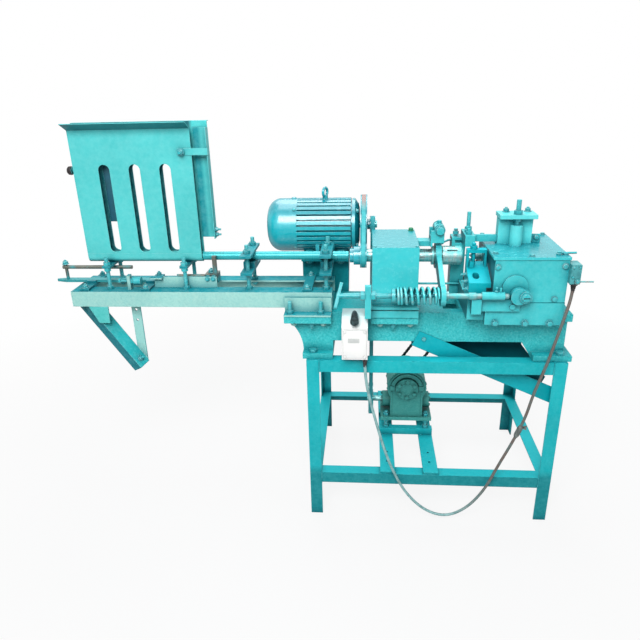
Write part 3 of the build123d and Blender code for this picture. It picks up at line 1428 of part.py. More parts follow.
# Worm reducer case with its foot, worm tunnel, wheel chamber and front cover
half_width, half_depth = reducer_width / 2, reducer_depth / 2
with BuildPart() as reducer_case:
    foot_x = (reducer_x - bar_spread - 20, reducer_x + bar_spread + 20)
    block(foot_x, (reducer_front, reducer_back), (reducer_base, reducer_base + reducer_foot))
    body_x = (reducer_x - half_width + reducer_side, reducer_x + half_width - reducer_side)
    body_y = (reducer_front + body_inset, reducer_back - body_inset)
    block(body_x, body_y, (reducer_base, wheel_z))
    tunnel = (reducer_x - half_width - tunnel_reach, reducer_x + half_width + tunnel_reach)
    bar_x(tunnel, reducer_y, worm_z, tunnel_radius)
    split = (wheel_z - flange_half, wheel_z + flange_half)
    flange_x = (reducer_x - half_width + flange_inset, reducer_x + half_width - flange_inset)
    block(flange_x, body_y, split)
    bar_y(reducer_x, body_y, wheel_z, wheel_radius + chamber_wall)
    case_front, case_back = reducer_front - front_cover[1], reducer_back + back_cover[1]
    bar_y(reducer_x, (case_front, reducer_front + 10), wheel_z, front_cover[0])
    bar_y(reducer_x, (reducer_back - 10, case_back), wheel_z, back_cover[0])
    worm_room = (reducer_x - half_width + worm_room_inset, reducer_x + half_width - worm_room_inset)
    bar_x(worm_room, reducer_y, worm_z, worm_radius + 4, Mode.SUBTRACT)
    bar_x((tunnel[0], worm_room[1] + 12), reducer_y, worm_z, worm_shaft_radius + fit_gap, Mode.SUBTRACT)
    wheel_room = (reducer_y - wheel_room_half, reducer_y + wheel_room_half)
    bar_y(reducer_x, wheel_room, wheel_z, wheel_radius + 3, Mode.SUBTRACT)
    bar_y(reducer_x, (reducer_front + 2, case_back), wheel_z, wheel_shaft_radius + fit_gap, Mode.SUBTRACT)
    for x in reducer_bolt_x:
        for y in reducer_bolt_y:
            base = (reducer_base, reducer_base + reducer_foot)
            bar_z(x, y, base, stud_radius + hole_gap, Mode.SUBTRACT)

# Worm shaft with its belt pulley
with BuildPart() as worm_shaft:
    bar_x((feed_belt_x - 14, worm_room[1] + 10), reducer_y, worm_z, worm_shaft_radius)
    bar_x((reducer_x - worm_half, reducer_x + worm_half), reducer_y, worm_z, worm_radius)
    grooved_pulley(feed_belt_x, reducer_y, worm_z, input_pulley_radius, pulley_width - 4)

# Worm wheel, output shaft and chain wheel
with BuildPart() as wheel_shaft:
    bar_y(reducer_x, (reducer_front + 4, chain_y + 12), wheel_z, wheel_shaft_radius)
    bar_y(reducer_x, (reducer_y - wheel_half, reducer_y + wheel_half), wheel_z, wheel_radius)
    bar_y(reducer_x, (chain_y - sprocket_half, chain_y + sprocket_half), wheel_z, sprocket_radius)

# Bead chute: an open trough on a slope, hung on the front wall of the bed
with BuildPart() as bead_chute:
    fall = radians(chute_angle)
    along = (cos(fall), 0, -sin(fall))
    with BuildSketch(Plane(origin=(chute_x, bed_front, chute_z), x_dir=(0, 1, 0), z_dir=along)):
        with BuildLine():
            Polyline((0, chute_wall_height), (0, 0), (chute_width, 0), (chute_width, chute_wall_height / 2))
            offset(amount=chute_sheet, side=Side.RIGHT)
        make_face()
    extrude(amount=chute_length)
    block((chute_x - 60, stand_right - 8), (bed_front, bed_back), (arch_z - 1, bed_top), Mode.SUBTRACT)

# Switch box on the front wall of the bed
with BuildPart() as switch_box:
    box_x = (switch_left, switch_left + switch_width)
    with BuildSketch(side_plane(switch_left)):
        with BuildLine():
            Polyline(
                (switch_front, switch_bottom),
                (switch_front, switch_top - switch_bevel[1]),
                (switch_front + switch_bevel[0], switch_top),
                (bed_front, switch_top),
                (bed_front, switch_bottom),
                close=True,
            )
        make_face()
    extrude(amount=switch_width)
    inner = (switch_left + switch_wall, switch_left + switch_width - switch_wall)
    room_z = (switch_bottom + switch_wall, switch_top - 34)
    block(inner, (switch_front + switch_wall, bed_front), room_z, Mode.SUBTRACT)
    dial_y = (switch_front - dial_proud, switch_front + switch_bevel[1])
    bar_y(handle_x, dial_y, handle_z, dial_radius)

# Switch handle: an upright oval grip on a front shaft
with BuildPart() as switch_handle:
    grip_y = switch_front - dial_proud - slip_gap
    bar_y(handle_x, (grip_y - 12, grip_y), handle_z, dial_radius + 1)
    with BuildSketch(front_plane(grip_y)):
        with Locations((handle_x, handle_z + grip_rise)):
            Ellipse(*grip_half)
    extrude(amount=grip_depth)

# Limit switch on the right of the cam box, with its whisker
limit_x = (box_right + 3, box_right + 3 + limit_width)
limit_y = (plate_front - 18, plate_front + 28)
whisker_z = limit_bottom + whisker_inset
whisker_x = limit_x[1] - whisker_inset
with BuildPart() as limit_switch:
    limit_z = (limit_bottom, limit_bottom + limit_height)
    block((box_right, limit_x[1]), (box_front + weld_gap, limit_y[1]), limit_z)
    block(limit_x, (limit_y[0], plate_front + 10), limit_z)
    bar_y(whisker_x, (limit_y[0] - 6, limit_y[0]), whisker_z, whisker_pin)

with BuildPart() as limit_whisker:
    hub_y = (limit_y[0] - 6, limit_y[0] - slip_gap)
    bar_y(whisker_x, hub_y, whisker_z, whisker_hub)
    bar_x((whisker_x, limit_x[1] + whisker_reach), sum(hub_y) / 2, whisker_z, whisker_wire)
    bar_y(whisker_x, hub_y, whisker_z, whisker_pin + fit_gap, Mode.SUBTRACT)

# Cord from the switch box down to the floor and up to the limit switch: share of the way along X, step
# in Y and share of the height of the end it hangs from
cord_start = (switch_left + cord_inset[0], switch_bottom)
cord_end = (limit_x[0] + limit_width / 2, limit_bottom)
cord_drop = [
    (0, 0, 1),
    (0, 0, 0.901),
    (0.024, 1, 0.769),
    (0.063, 0, 0.624),
    (0.107, -2, 0.468),
    (0.164, -3, 0.317),
    (0.244, -2, 0.171),
    (0.357, -1, 0.061),
    (0.48, 0, 0.026),
]
cord_rise = [
    (0.593, -1, 0.065),
    (0.682, -3, 0.156),
    (0.737, -4, 0.262),
    (0.805, -3, 0.374),
    (0.857, -4, 0.478),
    (0.882, -8, 0.587),
    (0.924, -14, 0.696),
    (0.951, -22, 0.805),
    (0.976, -24, 0.893),
    (1, -13, 0.956),
    (1, -13, 1),
]
cord_points = []
for shares, height in ((cord_drop, cord_start[1]), (cord_rise, cord_end[1])):
    for share, step, level in shares:
        x = cord_start[0] + share * (cord_end[0] - cord_start[0])
        cord_points.append((x, cord_y + step, level * height))


def cord_radii(points):
    # Each bend as large as its two runs allow
    radii = []
    for before, here, after in zip(points, points[1:], points[2:]):
        turn = (Vector(*here) - Vector(*before)).get_angle(Vector(*after) - Vector(*here))
        run = min(dist(before, here), dist(here, after))
        radii.append(0.45 * run / tan(radians(turn) / 2))
    return radii


bends = cord_radii(cord_points)
print("cord bend radii", [round(radius) for radius in bends])
with BuildPart() as cord:
    with BuildLine() as route:
        FilletPolyline(*cord_points, radius=bends)
    first_run = Vector(*cord_points[1]) - Vector(*cord_points[0])
    with BuildSketch(Plane(origin=cord_points[0], z_dir=first_run)):
        Circle(cord_radius)
    sweep(path=route.line)
cord_length = sum(edge.length for edge in route.edges())
volume_share = cord.part.volume / (pi * cord_radius**2 * cord_length)
print("cord length", round(cord_length), "volume share", round(volume_share, 3))

# Taped joint in the cord
joint_length = 46
with BuildPart() as cord_joint:
    run = (Vector(*cord_points[13]) - Vector(*cord_points[12])).normalized()
    middle = (Vector(*cord_points[13]) + Vector(*cord_points[12])) * 0.5
    with BuildSketch(Plane(origin=middle - run * (joint_length / 2), z_dir=run)):
        Circle(2 * cord_radius)
    extrude(amount=joint_length)
    chamfer(cord_joint.edges(), 3)

# Hexagon bolts: bed feet and motor feet
with BuildPart() as hex_bolts:
    for x in foot_bolt_x:
        for y in foot_bolt_y:
            bolt_down(x, y, foot_top, stand_height - angle_wall)
    for x in motor_bolt_x:
        for side in (-1, 1):
            y = motor_y + side * motor_bolt_spread
            bolt_down(x, y, motor_foot_z + motor_foot_thickness, motor_foot_z - stand_plate)

pieces = {
    "stand_legs": stand_legs,
    "stand_top_rails": stand_top_rails,
    "stand_lower_rails": stand_lower_rails,
    "bed_casting": bed_casting,
    "hex_bolts": hex_bolts,
    "table_rails": table_rails,
    "table_clamp": table_clamp,
    "table_brace": table_brace,
    "cross_straps": cross_straps,
    "threaded_studs": threaded_studs,
    "feed_tube": feed_tube,
    "hopper_front": hopper_front,
    "hopper_back": hopper_back,
    "hopper_trough": hopper_trough,
    "hopper_guide": hopper_guide,
    "pusher_bar": pusher_bar,
    "feed_guides": feed_guides,
    "stop_screw": stop_screw,
    "motor_housing": motor_housing,
    "motor_shield": motor_shield,
    "motor_fan_cover": motor_fan_cover,
    "motor_rotor": motor_rotor,
    "motor_pulley": motor_pulley,
    "feed_pulley": feed_pulley,
    "motor_stand": motor_stand,
    "headstock_base": headstock_base,
    "spindle_bearings": spindle_bearings,
    "headstock_cover": headstock_cover,
    "spindle": spindle,
    "cone_pulley": cone_pulley,
    "main_belt": main_belt,
    "feed_belt": feed_belt,
    "sliding_sleeve": sliding_sleeve,
    "fork_lever": fork_lever,
    "spring_post": spring_post,
    "tension_screw": tension_screw,
    "push_spring": push_spring,
    "push_rod": push_rod,
    "cam_box": cam_box,
    "cam_box_plates": cam_box_plates,
    "cam_box_lid": cam_box_lid,
    "lid_bracket": lid_bracket,
    "adjusting_screw": adjusting_screw,
    "camshaft": camshaft,
    "eccentric_cam": eccentric_cam,
    "drive_chain": drive_chain,
    "drill_quill": drill_quill,
    "tool_rest": tool_rest,
    "tool_slide": tool_slide,
    "reducer_case": reducer_case,
    "worm_shaft": worm_shaft,
    "wheel_shaft": wheel_shaft,
    "bead_chute": bead_chute,
    "switch_box": switch_box,
    "switch_handle": switch_handle,
    "limit_switch": limit_switch,
    "limit_whisker": limit_whisker,
    "cord": cord,
    "cord_joint": cord_joint,
}
for name, piece in pieces.items():
    piece.part.label = name
    export_step(piece.part, f"parts/{name}.step")
print(len(pieces), "pieces")
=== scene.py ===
import math

import bmesh
import bpy
from mathutils import Matrix, Vector


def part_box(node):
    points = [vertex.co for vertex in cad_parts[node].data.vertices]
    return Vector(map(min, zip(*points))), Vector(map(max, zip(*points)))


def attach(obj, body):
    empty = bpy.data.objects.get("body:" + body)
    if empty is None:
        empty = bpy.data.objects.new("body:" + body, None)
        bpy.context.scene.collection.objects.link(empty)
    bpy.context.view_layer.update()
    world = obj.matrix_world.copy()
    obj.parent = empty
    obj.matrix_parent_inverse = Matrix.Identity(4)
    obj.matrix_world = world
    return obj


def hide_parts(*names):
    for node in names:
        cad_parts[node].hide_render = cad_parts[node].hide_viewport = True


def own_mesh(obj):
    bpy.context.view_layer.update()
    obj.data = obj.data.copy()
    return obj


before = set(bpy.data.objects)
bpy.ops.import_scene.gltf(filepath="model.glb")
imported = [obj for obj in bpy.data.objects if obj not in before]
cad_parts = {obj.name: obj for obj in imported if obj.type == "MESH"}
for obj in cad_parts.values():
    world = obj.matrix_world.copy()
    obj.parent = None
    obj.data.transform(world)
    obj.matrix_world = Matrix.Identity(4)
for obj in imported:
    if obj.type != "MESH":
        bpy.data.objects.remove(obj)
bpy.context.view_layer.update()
scene = bpy.context.scene
scene.view_settings.view_transform = "Standard"
mm = 0.001  # sizes below are in millimetres unless a note says otherwise

# camera at the photograph's place, metres and degrees
camera = {"lens": 33.05, "place": (0.19298, -1.89464, 1.41089), "yaw": 4.89, "pitch": 22.28, "roll": -1.46}


def addCamera(view):
    yaw, pitch, roll = (math.radians(view[key]) for key in ("yaw", "pitch", "roll"))
    up = Vector((0, 0, 1))
    right = Vector((math.cos(yaw), math.sin(yaw), 0))
    ahead = Vector((-math.sin(yaw), math.cos(yaw), 0))
    forward = ahead * math.cos(pitch) - up * math.sin(pitch)
    level = up * math.cos(pitch) + ahead * math.sin(pitch)
    across = right * math.cos(roll) + level * math.sin(roll)
    upright = level * math.cos(roll) - right * math.sin(roll)
    data = bpy.data.cameras.new("camera")
    data.lens = view["lens"]
    made = bpy.data.objects.new("camera", data)
    scene.collection.objects.link(made)
    turn = Matrix((across, upright, -forward)).transposed().to_4x4()
    made.matrix_world = Matrix.Translation(view["place"]) @ turn
    scene.camera = made


addCamera(camera)


def box(nodeName):  # low and high corner of a CAD piece
    low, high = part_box(nodeName)
    return Vector(low) / mm, Vector(high) / mm


def centre(nodeName):
    low, high = box(nodeName)
    return (low + high) / 2


spindleAxis, motorAxis, wormAxis = centre("spindle"), centre("motor_fan_cover"), centre("worm_shaft")
wheelAxis, camAxis, rodAxis = centre("wheel_shaft"), centre("camshaft"), centre("push_rod")


# shader helpers
def node(tree, kind, inputs=None, **settings):
    made = tree.nodes.new(kind)
    for key, value in settings.items():
        setattr(made, key, value)
    for key, value in (inputs or {}).items():
        if isinstance(value, bpy.types.NodeSocket):
            tree.links.new(value, made.inputs[key])
        else:
            made.inputs[key].default_value = value
    return made


def linear(value):  # 0-255 screen value to light
    return ((value / 255 + 0.055) / 1.055) ** 2.4 if value > 10 else value / 255 / 12.92


def tint(colour, strength=1.0):
    return tuple(linear(value * strength) for value in colour) + (1,)


def blank(name):  # new material, its tree and the place on the piece
    made = bpy.data.materials.new(name)
    made.use_nodes = True
    tree = made.node_tree
    tree.nodes.clear()
    return made, tree, node(tree, "ShaderNodeTexCoord").outputs["Object"]


def noise(tree, place, size, detail=2, rough=0.5):
    inputs = {"Vector": place, "Scale": size, "Detail": detail, "Roughness": rough}
    return node(tree, "ShaderNodeTexNoise", inputs).outputs[0]


def ramp(tree, value, start, end, low=0.0, high=1.0):
    inputs = {"Value": value, "From Min": start, "From Max": end, "To Min": low, "To Max": high}
    return node(tree, "ShaderNodeMapRange", inputs).outputs[0]


def spots(tree, place, size, low, high, detail=4):  # noise squeezed to 0-1
    return ramp(tree, noise(tree, place, size, detail, rough=0.6), low, high)


def blend(tree, share, first, second):
    inputs = {0: share, 6: first, 7: second}
    return node(tree, "ShaderNodeMix", inputs, data_type="RGBA").outputs[2]


def figure(tree, how, first, second):
    return node(tree, "ShaderNodeMath", {0: first, 1: second}, operation=how).outputs[0]


def scaled(tree, first, second):
    return figure(tree, "MULTIPLY", first, second)


def dotted(tree, first, second):
    inputs = {0: first, 1: second}
    return node(tree, "ShaderNodeVectorMath", inputs, operation="DOT_PRODUCT").outputs["Value"]


def facingShare(tree, normal, way, start, end):  # 0-1 as a face turns towards a direction
    return ramp(tree, dotted(tree, normal, Vector(way).normalized()), start, end)


def nookShade(tree, reach, start, end, most):  # how far a spot lies in a corner
    nook = node(tree, "ShaderNodeAmbientOcclusion", {"Distance": reach * mm}, samples=4)
    return ramp(tree, nook.outputs["AO"], start, end, 0.0, most)


def roundedNormal(tree, radius):
    return node(tree, "ShaderNodeBevel", {"Radius": radius * mm}, samples=4).outputs[0]


def axisOf(tree, place, axis):  # 0, 1 or 2 for x, y or z
    return node(tree, "ShaderNodeSeparateXYZ", {0: place}).outputs[axis]


def finishShader(tree, colour, rough, bumps, metal=0.0, normal=None, level=0.4):
    inputs = {"Base Color": colour, "Roughness": rough, "Metallic": metal, "Specular IOR Level": level}
    shader = node(tree, "ShaderNodeBsdfPrincipled", inputs)
    for height, strength, distance in bumps:
        inputs = {"Height": height, "Strength": strength, "Distance": distance * mm}
        made = node(tree, "ShaderNodeBump", inputs)
        if normal is not None:
            tree.links.new(normal, made.inputs["Normal"])
        normal = made.outputs[0]
    if normal is not None:
        tree.links.new(normal, shader.inputs["Normal"])
    node(tree, "ShaderNodeOutputMaterial", {"Surface": shader.outputs[0]})


# sprayed paints: colour, painted shade in corners and on undersides, rubbed edges with a painted highlight,
# roughness, shine and cast grain; where one differs from the rest, its clouds, width of rubbed edge and
# spread of roughness; and faces with painted light or shade of their own: the way they look, how squarely,
# the colour, and an axis with two places in metres between which it starts
hopperTones = {"base": (84, 203, 203), "deep": (0, 112, 122), "pale": (150, 226, 225)}
braceOuter, braceInner = (-0.39, -0.88, -0.26), (0.741, -0.469, 0.481)  # ways the brace's two legs face
paints = {
    "standPaint": {
        "base": (20, 186, 194), "deep": (0, 98, 112), "pale": (100, 214, 218),
        "rough": 0.42, "shine": 0.2, "cast": 0.25, "faces": [
            {"way": (0, 0, 1), "from": 0.6, "tone": (26, 196, 206)},
            {"way": (0, -1, 0), "from": 0.6, "tone": (14, 138, 146), "within": (2, 0.2, 0.17)}]},
    # darker copy of the stand paint as painted shade beneath the motor; its clouds are real drips
    "motorStandShadedPaint": {
        "base": (14, 156, 166), "deep": (0, 76, 88), "pale": (70, 190, 196),
        "rough": 0.42, "shine": 0.2, "cast": 0.4, "cloud": 0.5},
    "bracePaint": {
        "base": (44, 190, 195), "deep": (0, 84, 94), "pale": (150, 232, 232),
        "rough": 0.5, "shine": 0.1, "cast": 0.25, "edge": 4.5, "faces": [
            {"way": braceOuter, "from": 0.95, "tone": (0, 126, 140)},
            {"way": braceOuter, "from": 0.95, "tone": (0, 84, 94), "within": (2, 0.66, 0.76)},
            {"way": braceInner, "from": 0.9, "tone": (20, 98, 102), "within": (2, 0.64, 0.75)},
            {"way": (0, -1, 0), "from": 0.97, "tone": (84, 194, 190)},
            {"way": (0, -1, 0), "from": 0.97, "tone": (158, 212, 206), "within": (0, -0.62, -0.6)}]},
    "clampPaint": {
        "base": (12, 142, 154), "deep": (0, 72, 86), "pale": (132, 216, 219),
        "rough": 0.38, "shine": 0.2, "cast": 0.25},
    "bedCasting": {
        "base": (58, 199, 203), "deep": (0, 116, 126), "pale": (128, 224, 222),
        "rough": 0.4, "shine": 0.2, "cast": 1.1, "faces": [
            {"way": (0, 0, 1), "from": 0.6, "tone": (20, 184, 192)}]},
    "hopperPaint": {
        **hopperTones, "rough": 0.36, "shine": 0.35, "cast": 0.15, "faces": [
            {"way": (0, -0.46, -0.89), "from": 0.9, "tone": (12, 116, 122)}]},
    "guidePaint": {
        **hopperTones, "rough": 0.36, "shine": 0.3, "cast": 0.15, "faces": [
            {"way": (0, -1, 0), "from": 0.8, "tone": (14, 144, 154), "within": (0, -0.3, -0.31)}]},
    "hopperBackPaint": {
        **hopperTones, "rough": 0.4, "shine": 0.3, "cast": 0.15, "faces": [
            {"way": (0, -1, 0), "from": 0.9, "tone": (8, 92, 101)},
            {"way": (0, -1, 0), "from": 0.9, "tone": (74, 200, 200), "within": (0, -0.335, -0.325)}]},
    # pale base as a painted reflection on the front faces; the tops get the paint's own saturated teal
    "tablePaint": {
        "base": (160, 216, 209), "deep": (20, 130, 140), "pale": (206, 232, 220),
        "rough": 0.5, "shine": 0.03, "cast": 0.4, "faces": [
            {"way": (0, 0, 1), "from": 0.4, "tone": (0, 146, 160)}]},
    "motorPaint": {
        "base": (14, 184, 198), "deep": (4, 118, 132), "pale": (120, 224, 228),
        "rough": 0.25, "shine": 0.95, "cast": 0.0, "vary": 0.2, "faces": [
            {"way": (0, 0, 1), "from": 0.35, "tone": (0, 142, 158)}]},
    # lighter copy of the hopper paint as painted light on the bracket's web, which lies in shade
    "bracketLitPaint": {
        "base": (100, 228, 230), "deep": (26, 152, 162), "pale": (176, 240, 240),
        "rough": 0.34, "shine": 0.35, "cast": 0.2},
    "coverPaint": {
        "base": (58, 205, 211), "deep": (0, 132, 148), "pale": (140, 228, 230),
        "rough": 0.26, "shine": 0.45, "cast": 0.0, "vary": 0.2, "faces": [
            {"way": (0, 0, 1), "from": 0.6, "tone": (40, 164, 175)}]},
    "boxPaint": {
        "base": (64, 202, 207), "deep": (0, 104, 118), "pale": (146, 228, 228),
        "rough": 0.34, "shine": 0.35, "cast": 0.18, "vary": 0.5, "faces": [
            {"way": (-1, 0, 0), "from": 0.8, "tone": (4, 96, 106)}]},
    "chutePaint": {
        "base": (0, 178, 190), "deep": (0, 96, 110), "pale": (70, 200, 206),
        "rough": 0.4, "shine": 0.2, "cast": 0.15, "faces": [
            {"way": (0, 0, 1), "from": 0.7, "tone": (0, 190, 206)}]},
    "chuteShade": {
        "base": (0, 104, 116), "deep": (0, 62, 70), "pale": (10, 130, 140),
        "rough": 0.5, "shine": 0.15, "cast": 0.15},
    "reducerPaint": {
        "base": (68, 164, 158), "deep": (14, 82, 80), "pale": (116, 194, 184),
        "rough": 0.48, "shine": 0.3, "cast": 0.7},
    "nutPaint": {
        "base": (44, 188, 195), "deep": (0, 84, 98), "pale": (178, 226, 226),
        "rough": 0.3, "shine": 0.5, "cast": 0.15},
}


# worn look and painted shade of all paints: spots as (size, from, to, detail), the share of colour that each
# gives, painted shade on undersides and in corners, rubbed edges with a painted highlight, and grain and
# bump as shares of the cast grain
wearAndShade = {
    "cloud": (5.5, 0.32, 0.7, 4), "cloudShare": 0.2, "turn": 0.3, "square": 0.995, "under": (0.2, 0.9),
    "underShare": 0.7, "spray": (60, 0.35, 0.7, 3), "sprayShare": 0.14, "lumps": (170, 4, 0.55),
    "lumpShare": 0.3, "lumpMost": 0.45, "pits": (0.5, 0.32), "peaks": (0.52, 0.7),
    "nook": (30, 0.95, 0.35, 0.9), "edge": 1.4, "edgeFrom": (0.985, 0.86), "rubAndHighlight": (38, 0.38, 0.6, 5),
    "rubAndHighlightShare": 0.85, "rough": (-0.05, 0.12), "castBump": (0.7, 2.4), "peel": 420, "peelBump": (0.02, 0.2),
    "peelMost": 0.25, "peelHeight": 0.6}


def paint(name, look):
    made, tree, place = blank(name)
    normal = node(tree, "ShaderNodeNewGeometry").outputs["Normal"]
    deep, pale, cast = tint(look["deep"]), tint(look["pale"]), look["cast"]
    cloud = scaled(tree, spots(tree, place, *wearAndShade["cloud"]), look.get("cloud", wearAndShade["cloudShare"]))
    colour = blend(tree, cloud, tint(look["base"]), deep)
    # painted light and shade: faces turned one way get a lighter or darker colour of their own
    for face in look.get("faces", []):
        full = min(face["from"] + wearAndShade["turn"], wearAndShade["square"])
        share = facingShare(tree, normal, face["way"], face["from"], full)
        if "within" in face:
            axis, start, end = face["within"]
            share = scaled(tree, share, ramp(tree, axisOf(tree, place, axis), start, end))
        colour = blend(tree, share, colour, tint(face["tone"]))
    under = scaled(tree, facingShare(tree, normal, (0, 0, -1), *wearAndShade["under"]), wearAndShade["underShare"])
    colour = blend(tree, under, colour, deep)  # painted shade on the undersides
    spray = spots(tree, place, *wearAndShade["spray"])
    colour = blend(tree, scaled(tree, spray, wearAndShade["sprayShare"]), colour, pale)
    lumps = noise(tree, place, *wearAndShade["lumps"])
    grain = min(wearAndShade["lumpMost"], wearAndShade["lumpShare"] * cast)
    for ends, tone in ((wearAndShade["pits"], deep), (wearAndShade["peaks"], pale)):
        colour = blend(tree, ramp(tree, lumps, *ends, 0.0, grain), colour, tone)
    colour = blend(tree, nookShade(tree, *wearAndShade["nook"]), colour, deep)
    rounded = roundedNormal(tree, look.get("edge", wearAndShade["edge"]))
    # pale rubbed edges: partly real scuffing, partly a painted highlight on the edges
    rubAndHighlight = scaled(tree, spots(tree, place, *wearAndShade["rubAndHighlight"]), wearAndShade["rubAndHighlightShare"])
    edge = scaled(tree, ramp(tree, dotted(tree, rounded, normal), *wearAndShade["edgeFrom"]), rubAndHighlight)
    colour = blend(tree, edge, colour, pale)
    rough = [look["rough"] + step * look.get("vary", 1.0) for step in wearAndShade["rough"]]
    strength, height = wearAndShade["castBump"]
    least, more = wearAndShade["peelBump"]
    bumps = [
        (lumps, min(1.0, strength * cast), height * max(1.0, cast)),
        (noise(tree, place, wearAndShade["peel"]), min(wearAndShade["peelMost"], least + more * cast), wearAndShade["peelHeight"])]
    finishShader(
        tree, colour, ramp(tree, spray, 0.0, 1.0, *rough), bumps, normal=rounded, level=look["shine"])
    return made


finish = {name: paint(name, look) for name, look in paints.items()}

# turned steel that caught some of the spray: metres where one is sprayed only up to a height, and an axis,
# two places in metres and a colour of painted shade where one darkens towards its far end
steels = {
    "spindleSteel": {
        "metal": (196, 216, 214), "spray": (96, 208, 210), "cover": 0.75, "rough": 0.26,
        "grain": (900, 12, 12)},
    "tubeSteel": {
        "metal": (98, 188, 192), "spray": (50, 184, 191), "cover": 1.0, "rough": 0.26,
        "grain": (900, 12, 12)},
    "rodSteel": {
        "metal": (170, 186, 184), "spray": (84, 198, 202), "cover": 0.7, "rough": 0.3,
        "grain": (14, 700, 700), "shade": (0, 0.425, 0.405, (16, 106, 116))},
    "barSteel": {
        "metal": (128, 126, 116), "spray": (60, 168, 174), "cover": 0.3, "rough": 0.42,
        "grain": (16, 500, 500), "sprayedTo": 0.833},
    "chainSteel": {
        "metal": (70, 78, 78), "spray": (28, 92, 98), "cover": 0.4, "rough": 0.48,
        "grain": (300, 300, 300)},
    "springSteel": {
        "metal": (176, 220, 222), "spray": (74, 214, 220), "cover": 0.9, "rough": 0.3,
        "grain": (260, 260, 260), "shade": (1, -0.292, -0.278, (0, 92, 104))},
}


# worn look of all steels: the spray's spots as (size, detail), where they start and end and what the cover
# takes off that, turning lines with their tone, painted shade in corners with its tone, metal from bare to
# sprayed, and roughness as steps
turning = {
    "spots": (34, 5), "from": (0.62, 0.35), "to": (0.8, 0.3), "fade": 0.005, "lines": 0.35, "lineTone": 0.55,
    "nook": (15, 0.85, 0.3, 0.7), "nookShadeTone": 0.4, "metal": (0.9, 0.15), "rough": (-0.08, 0.14),
    "bump": (0.12, 0.3), "edge": 0.8}


def steel(name, look):
    made, tree, place = blank(name)
    stretch = node(tree, "ShaderNodeMapping", {"Vector": place, "Scale": look["grain"]}).outputs[0]
    lines = noise(tree, stretch, 1.0, 3)
    size, detail = turning["spots"]
    ends = [full - less * look["cover"] for full, less in (turning["from"], turning["to"])]
    spray = spots(tree, place, size, *ends, detail)
    if "sprayedTo" in look:
        top, fade = look["sprayedTo"], turning["fade"]
        low = ramp(tree, axisOf(tree, place, 2), top + fade, top - fade)
        spray = figure(tree, "MAXIMUM", spray, low)
    colour = blend(tree, spray, tint(look["metal"]), tint(look["spray"]))
    # painted shade: darker towards the far end along one axis
    if "shade" in look:
        axis, start, end, tone = look["shade"]
        colour = blend(tree, ramp(tree, axisOf(tree, place, axis), start, end), colour, tint(tone))
    shares = (scaled(tree, lines, turning["lines"]), nookShade(tree, *turning["nook"]))
    for share, tone in zip(shares, (turning["lineTone"], turning["nookShadeTone"])):
        colour = blend(tree, share, colour, tint(look["spray"], tone))
    metal = ramp(tree, spray, 0.0, 1.0, *turning["metal"])
    rough = ramp(tree, lines, 0.0, 1.0, *[look["rough"] + step for step in turning["rough"]])
    rounded = roundedNormal(tree, turning["edge"])
    finishShader(tree, colour, rough, [(lines, *turning["bump"])], metal, rounded)
    return made


finish.update({name: steel(name, look) for name, look in steels.items()})

# rubber, plastic and tape: colour, dirt, size of its patches, and a bare stretch above a height in metres
softs = {
    "beltRubber": {
        "base": (58, 178, 184), "dirt": (46, 140, 148), "size": 26, "mix": 0.7, "rough": 0.6,
        "grain": 800, "bare": (158, 132, 128), "bareFrom": 1.035},
    "feedRubber": {
        "base": (52, 150, 156), "dirt": (40, 178, 186), "size": 22, "mix": 0.8, "rough": 0.66, "grain": 800},
    "tapeWrap": {
        "base": (92, 100, 98), "dirt": (150, 158, 152), "size": 90, "mix": 0.6, "rough": 0.55, "grain": 600},
    "blackPlastic": {
        "base": (34, 32, 34), "dirt": (96, 82, 80), "size": 60, "mix": 0.45, "rough": 0.42, "grain": 900},
    "handlePlastic": {
        "base": (30, 46, 50), "dirt": (90, 118, 120), "size": 110, "mix": 0.7, "rough": 0.34, "grain": 900},
    "whitePlastic": {
        "base": (246, 246, 244), "dirt": (226, 236, 236), "size": 16, "mix": 0.4, "rough": 0.38,
        "grain": 500, "bare": (196, 222, 222), "bareFrom": 0.736},
    "greenCap": {
        "base": (34, 128, 84), "dirt": (60, 150, 130), "size": 80, "mix": 0.5, "rough": 0.4, "grain": 500},
    "labelBlank": {
        "base": (214, 216, 214), "dirt": (170, 176, 176), "size": 40, "mix": 0.4, "rough": 0.5,
        "grain": 400},
    "darkGap": {
        "base": (10, 34, 38), "dirt": (4, 60, 66), "size": 60, "mix": 0.5, "rough": 0.6, "grain": 500},
    # painted shade seen through the hopper's left slot
    "slotShadeBlue": {
        "base": (34, 92, 112), "dirt": (30, 80, 88), "size": 30, "mix": 0.7, "rough": 0.5, "grain": 500},
    "switchGrey": {
        "base": (84, 172, 176), "dirt": (44, 116, 122), "size": 50, "mix": 0.6, "rough": 0.4, "grain": 500},
}


# worn look of all soft finishes: patches of dirt as (from, to, detail), the bare stretch's fade in metres,
# painted shade in corners with its tone, and roughness as steps
dulling = {
    "patch": (0.4, 0.66, 5), "fade": 0.015, "nook": (12, 0.85, 0.3, 0.6), "nookShadeTone": 0.45,
    "rough": (-0.06, 0.12), "bump": (0.15, 0.4), "edge": 1.0}


def soft(name, look):
    made, tree, place = blank(name)
    patch = spots(tree, place, look["size"], *dulling["patch"])
    colour = blend(tree, scaled(tree, patch, look["mix"]), tint(look["base"]), tint(look["dirt"]))
    if "bare" in look:
        start, fade = look["bareFrom"], dulling["fade"]
        high = ramp(tree, axisOf(tree, place, 2), start - fade, start + fade)
        colour = blend(tree, high, colour, tint(look["bare"]))
    nook = nookShade(tree, *dulling["nook"])
    colour = blend(tree, nook, colour, tint(look["base"], dulling["nookShadeTone"]))
    rough = ramp(tree, patch, 0.0, 1.0, *[look["rough"] + step for step in dulling["rough"]])
    bump = (noise(tree, place, look["grain"]), *dulling["bump"])
    finishShader(tree, colour, rough, [bump], normal=roundedNormal(tree, dulling["edge"]))
    return made


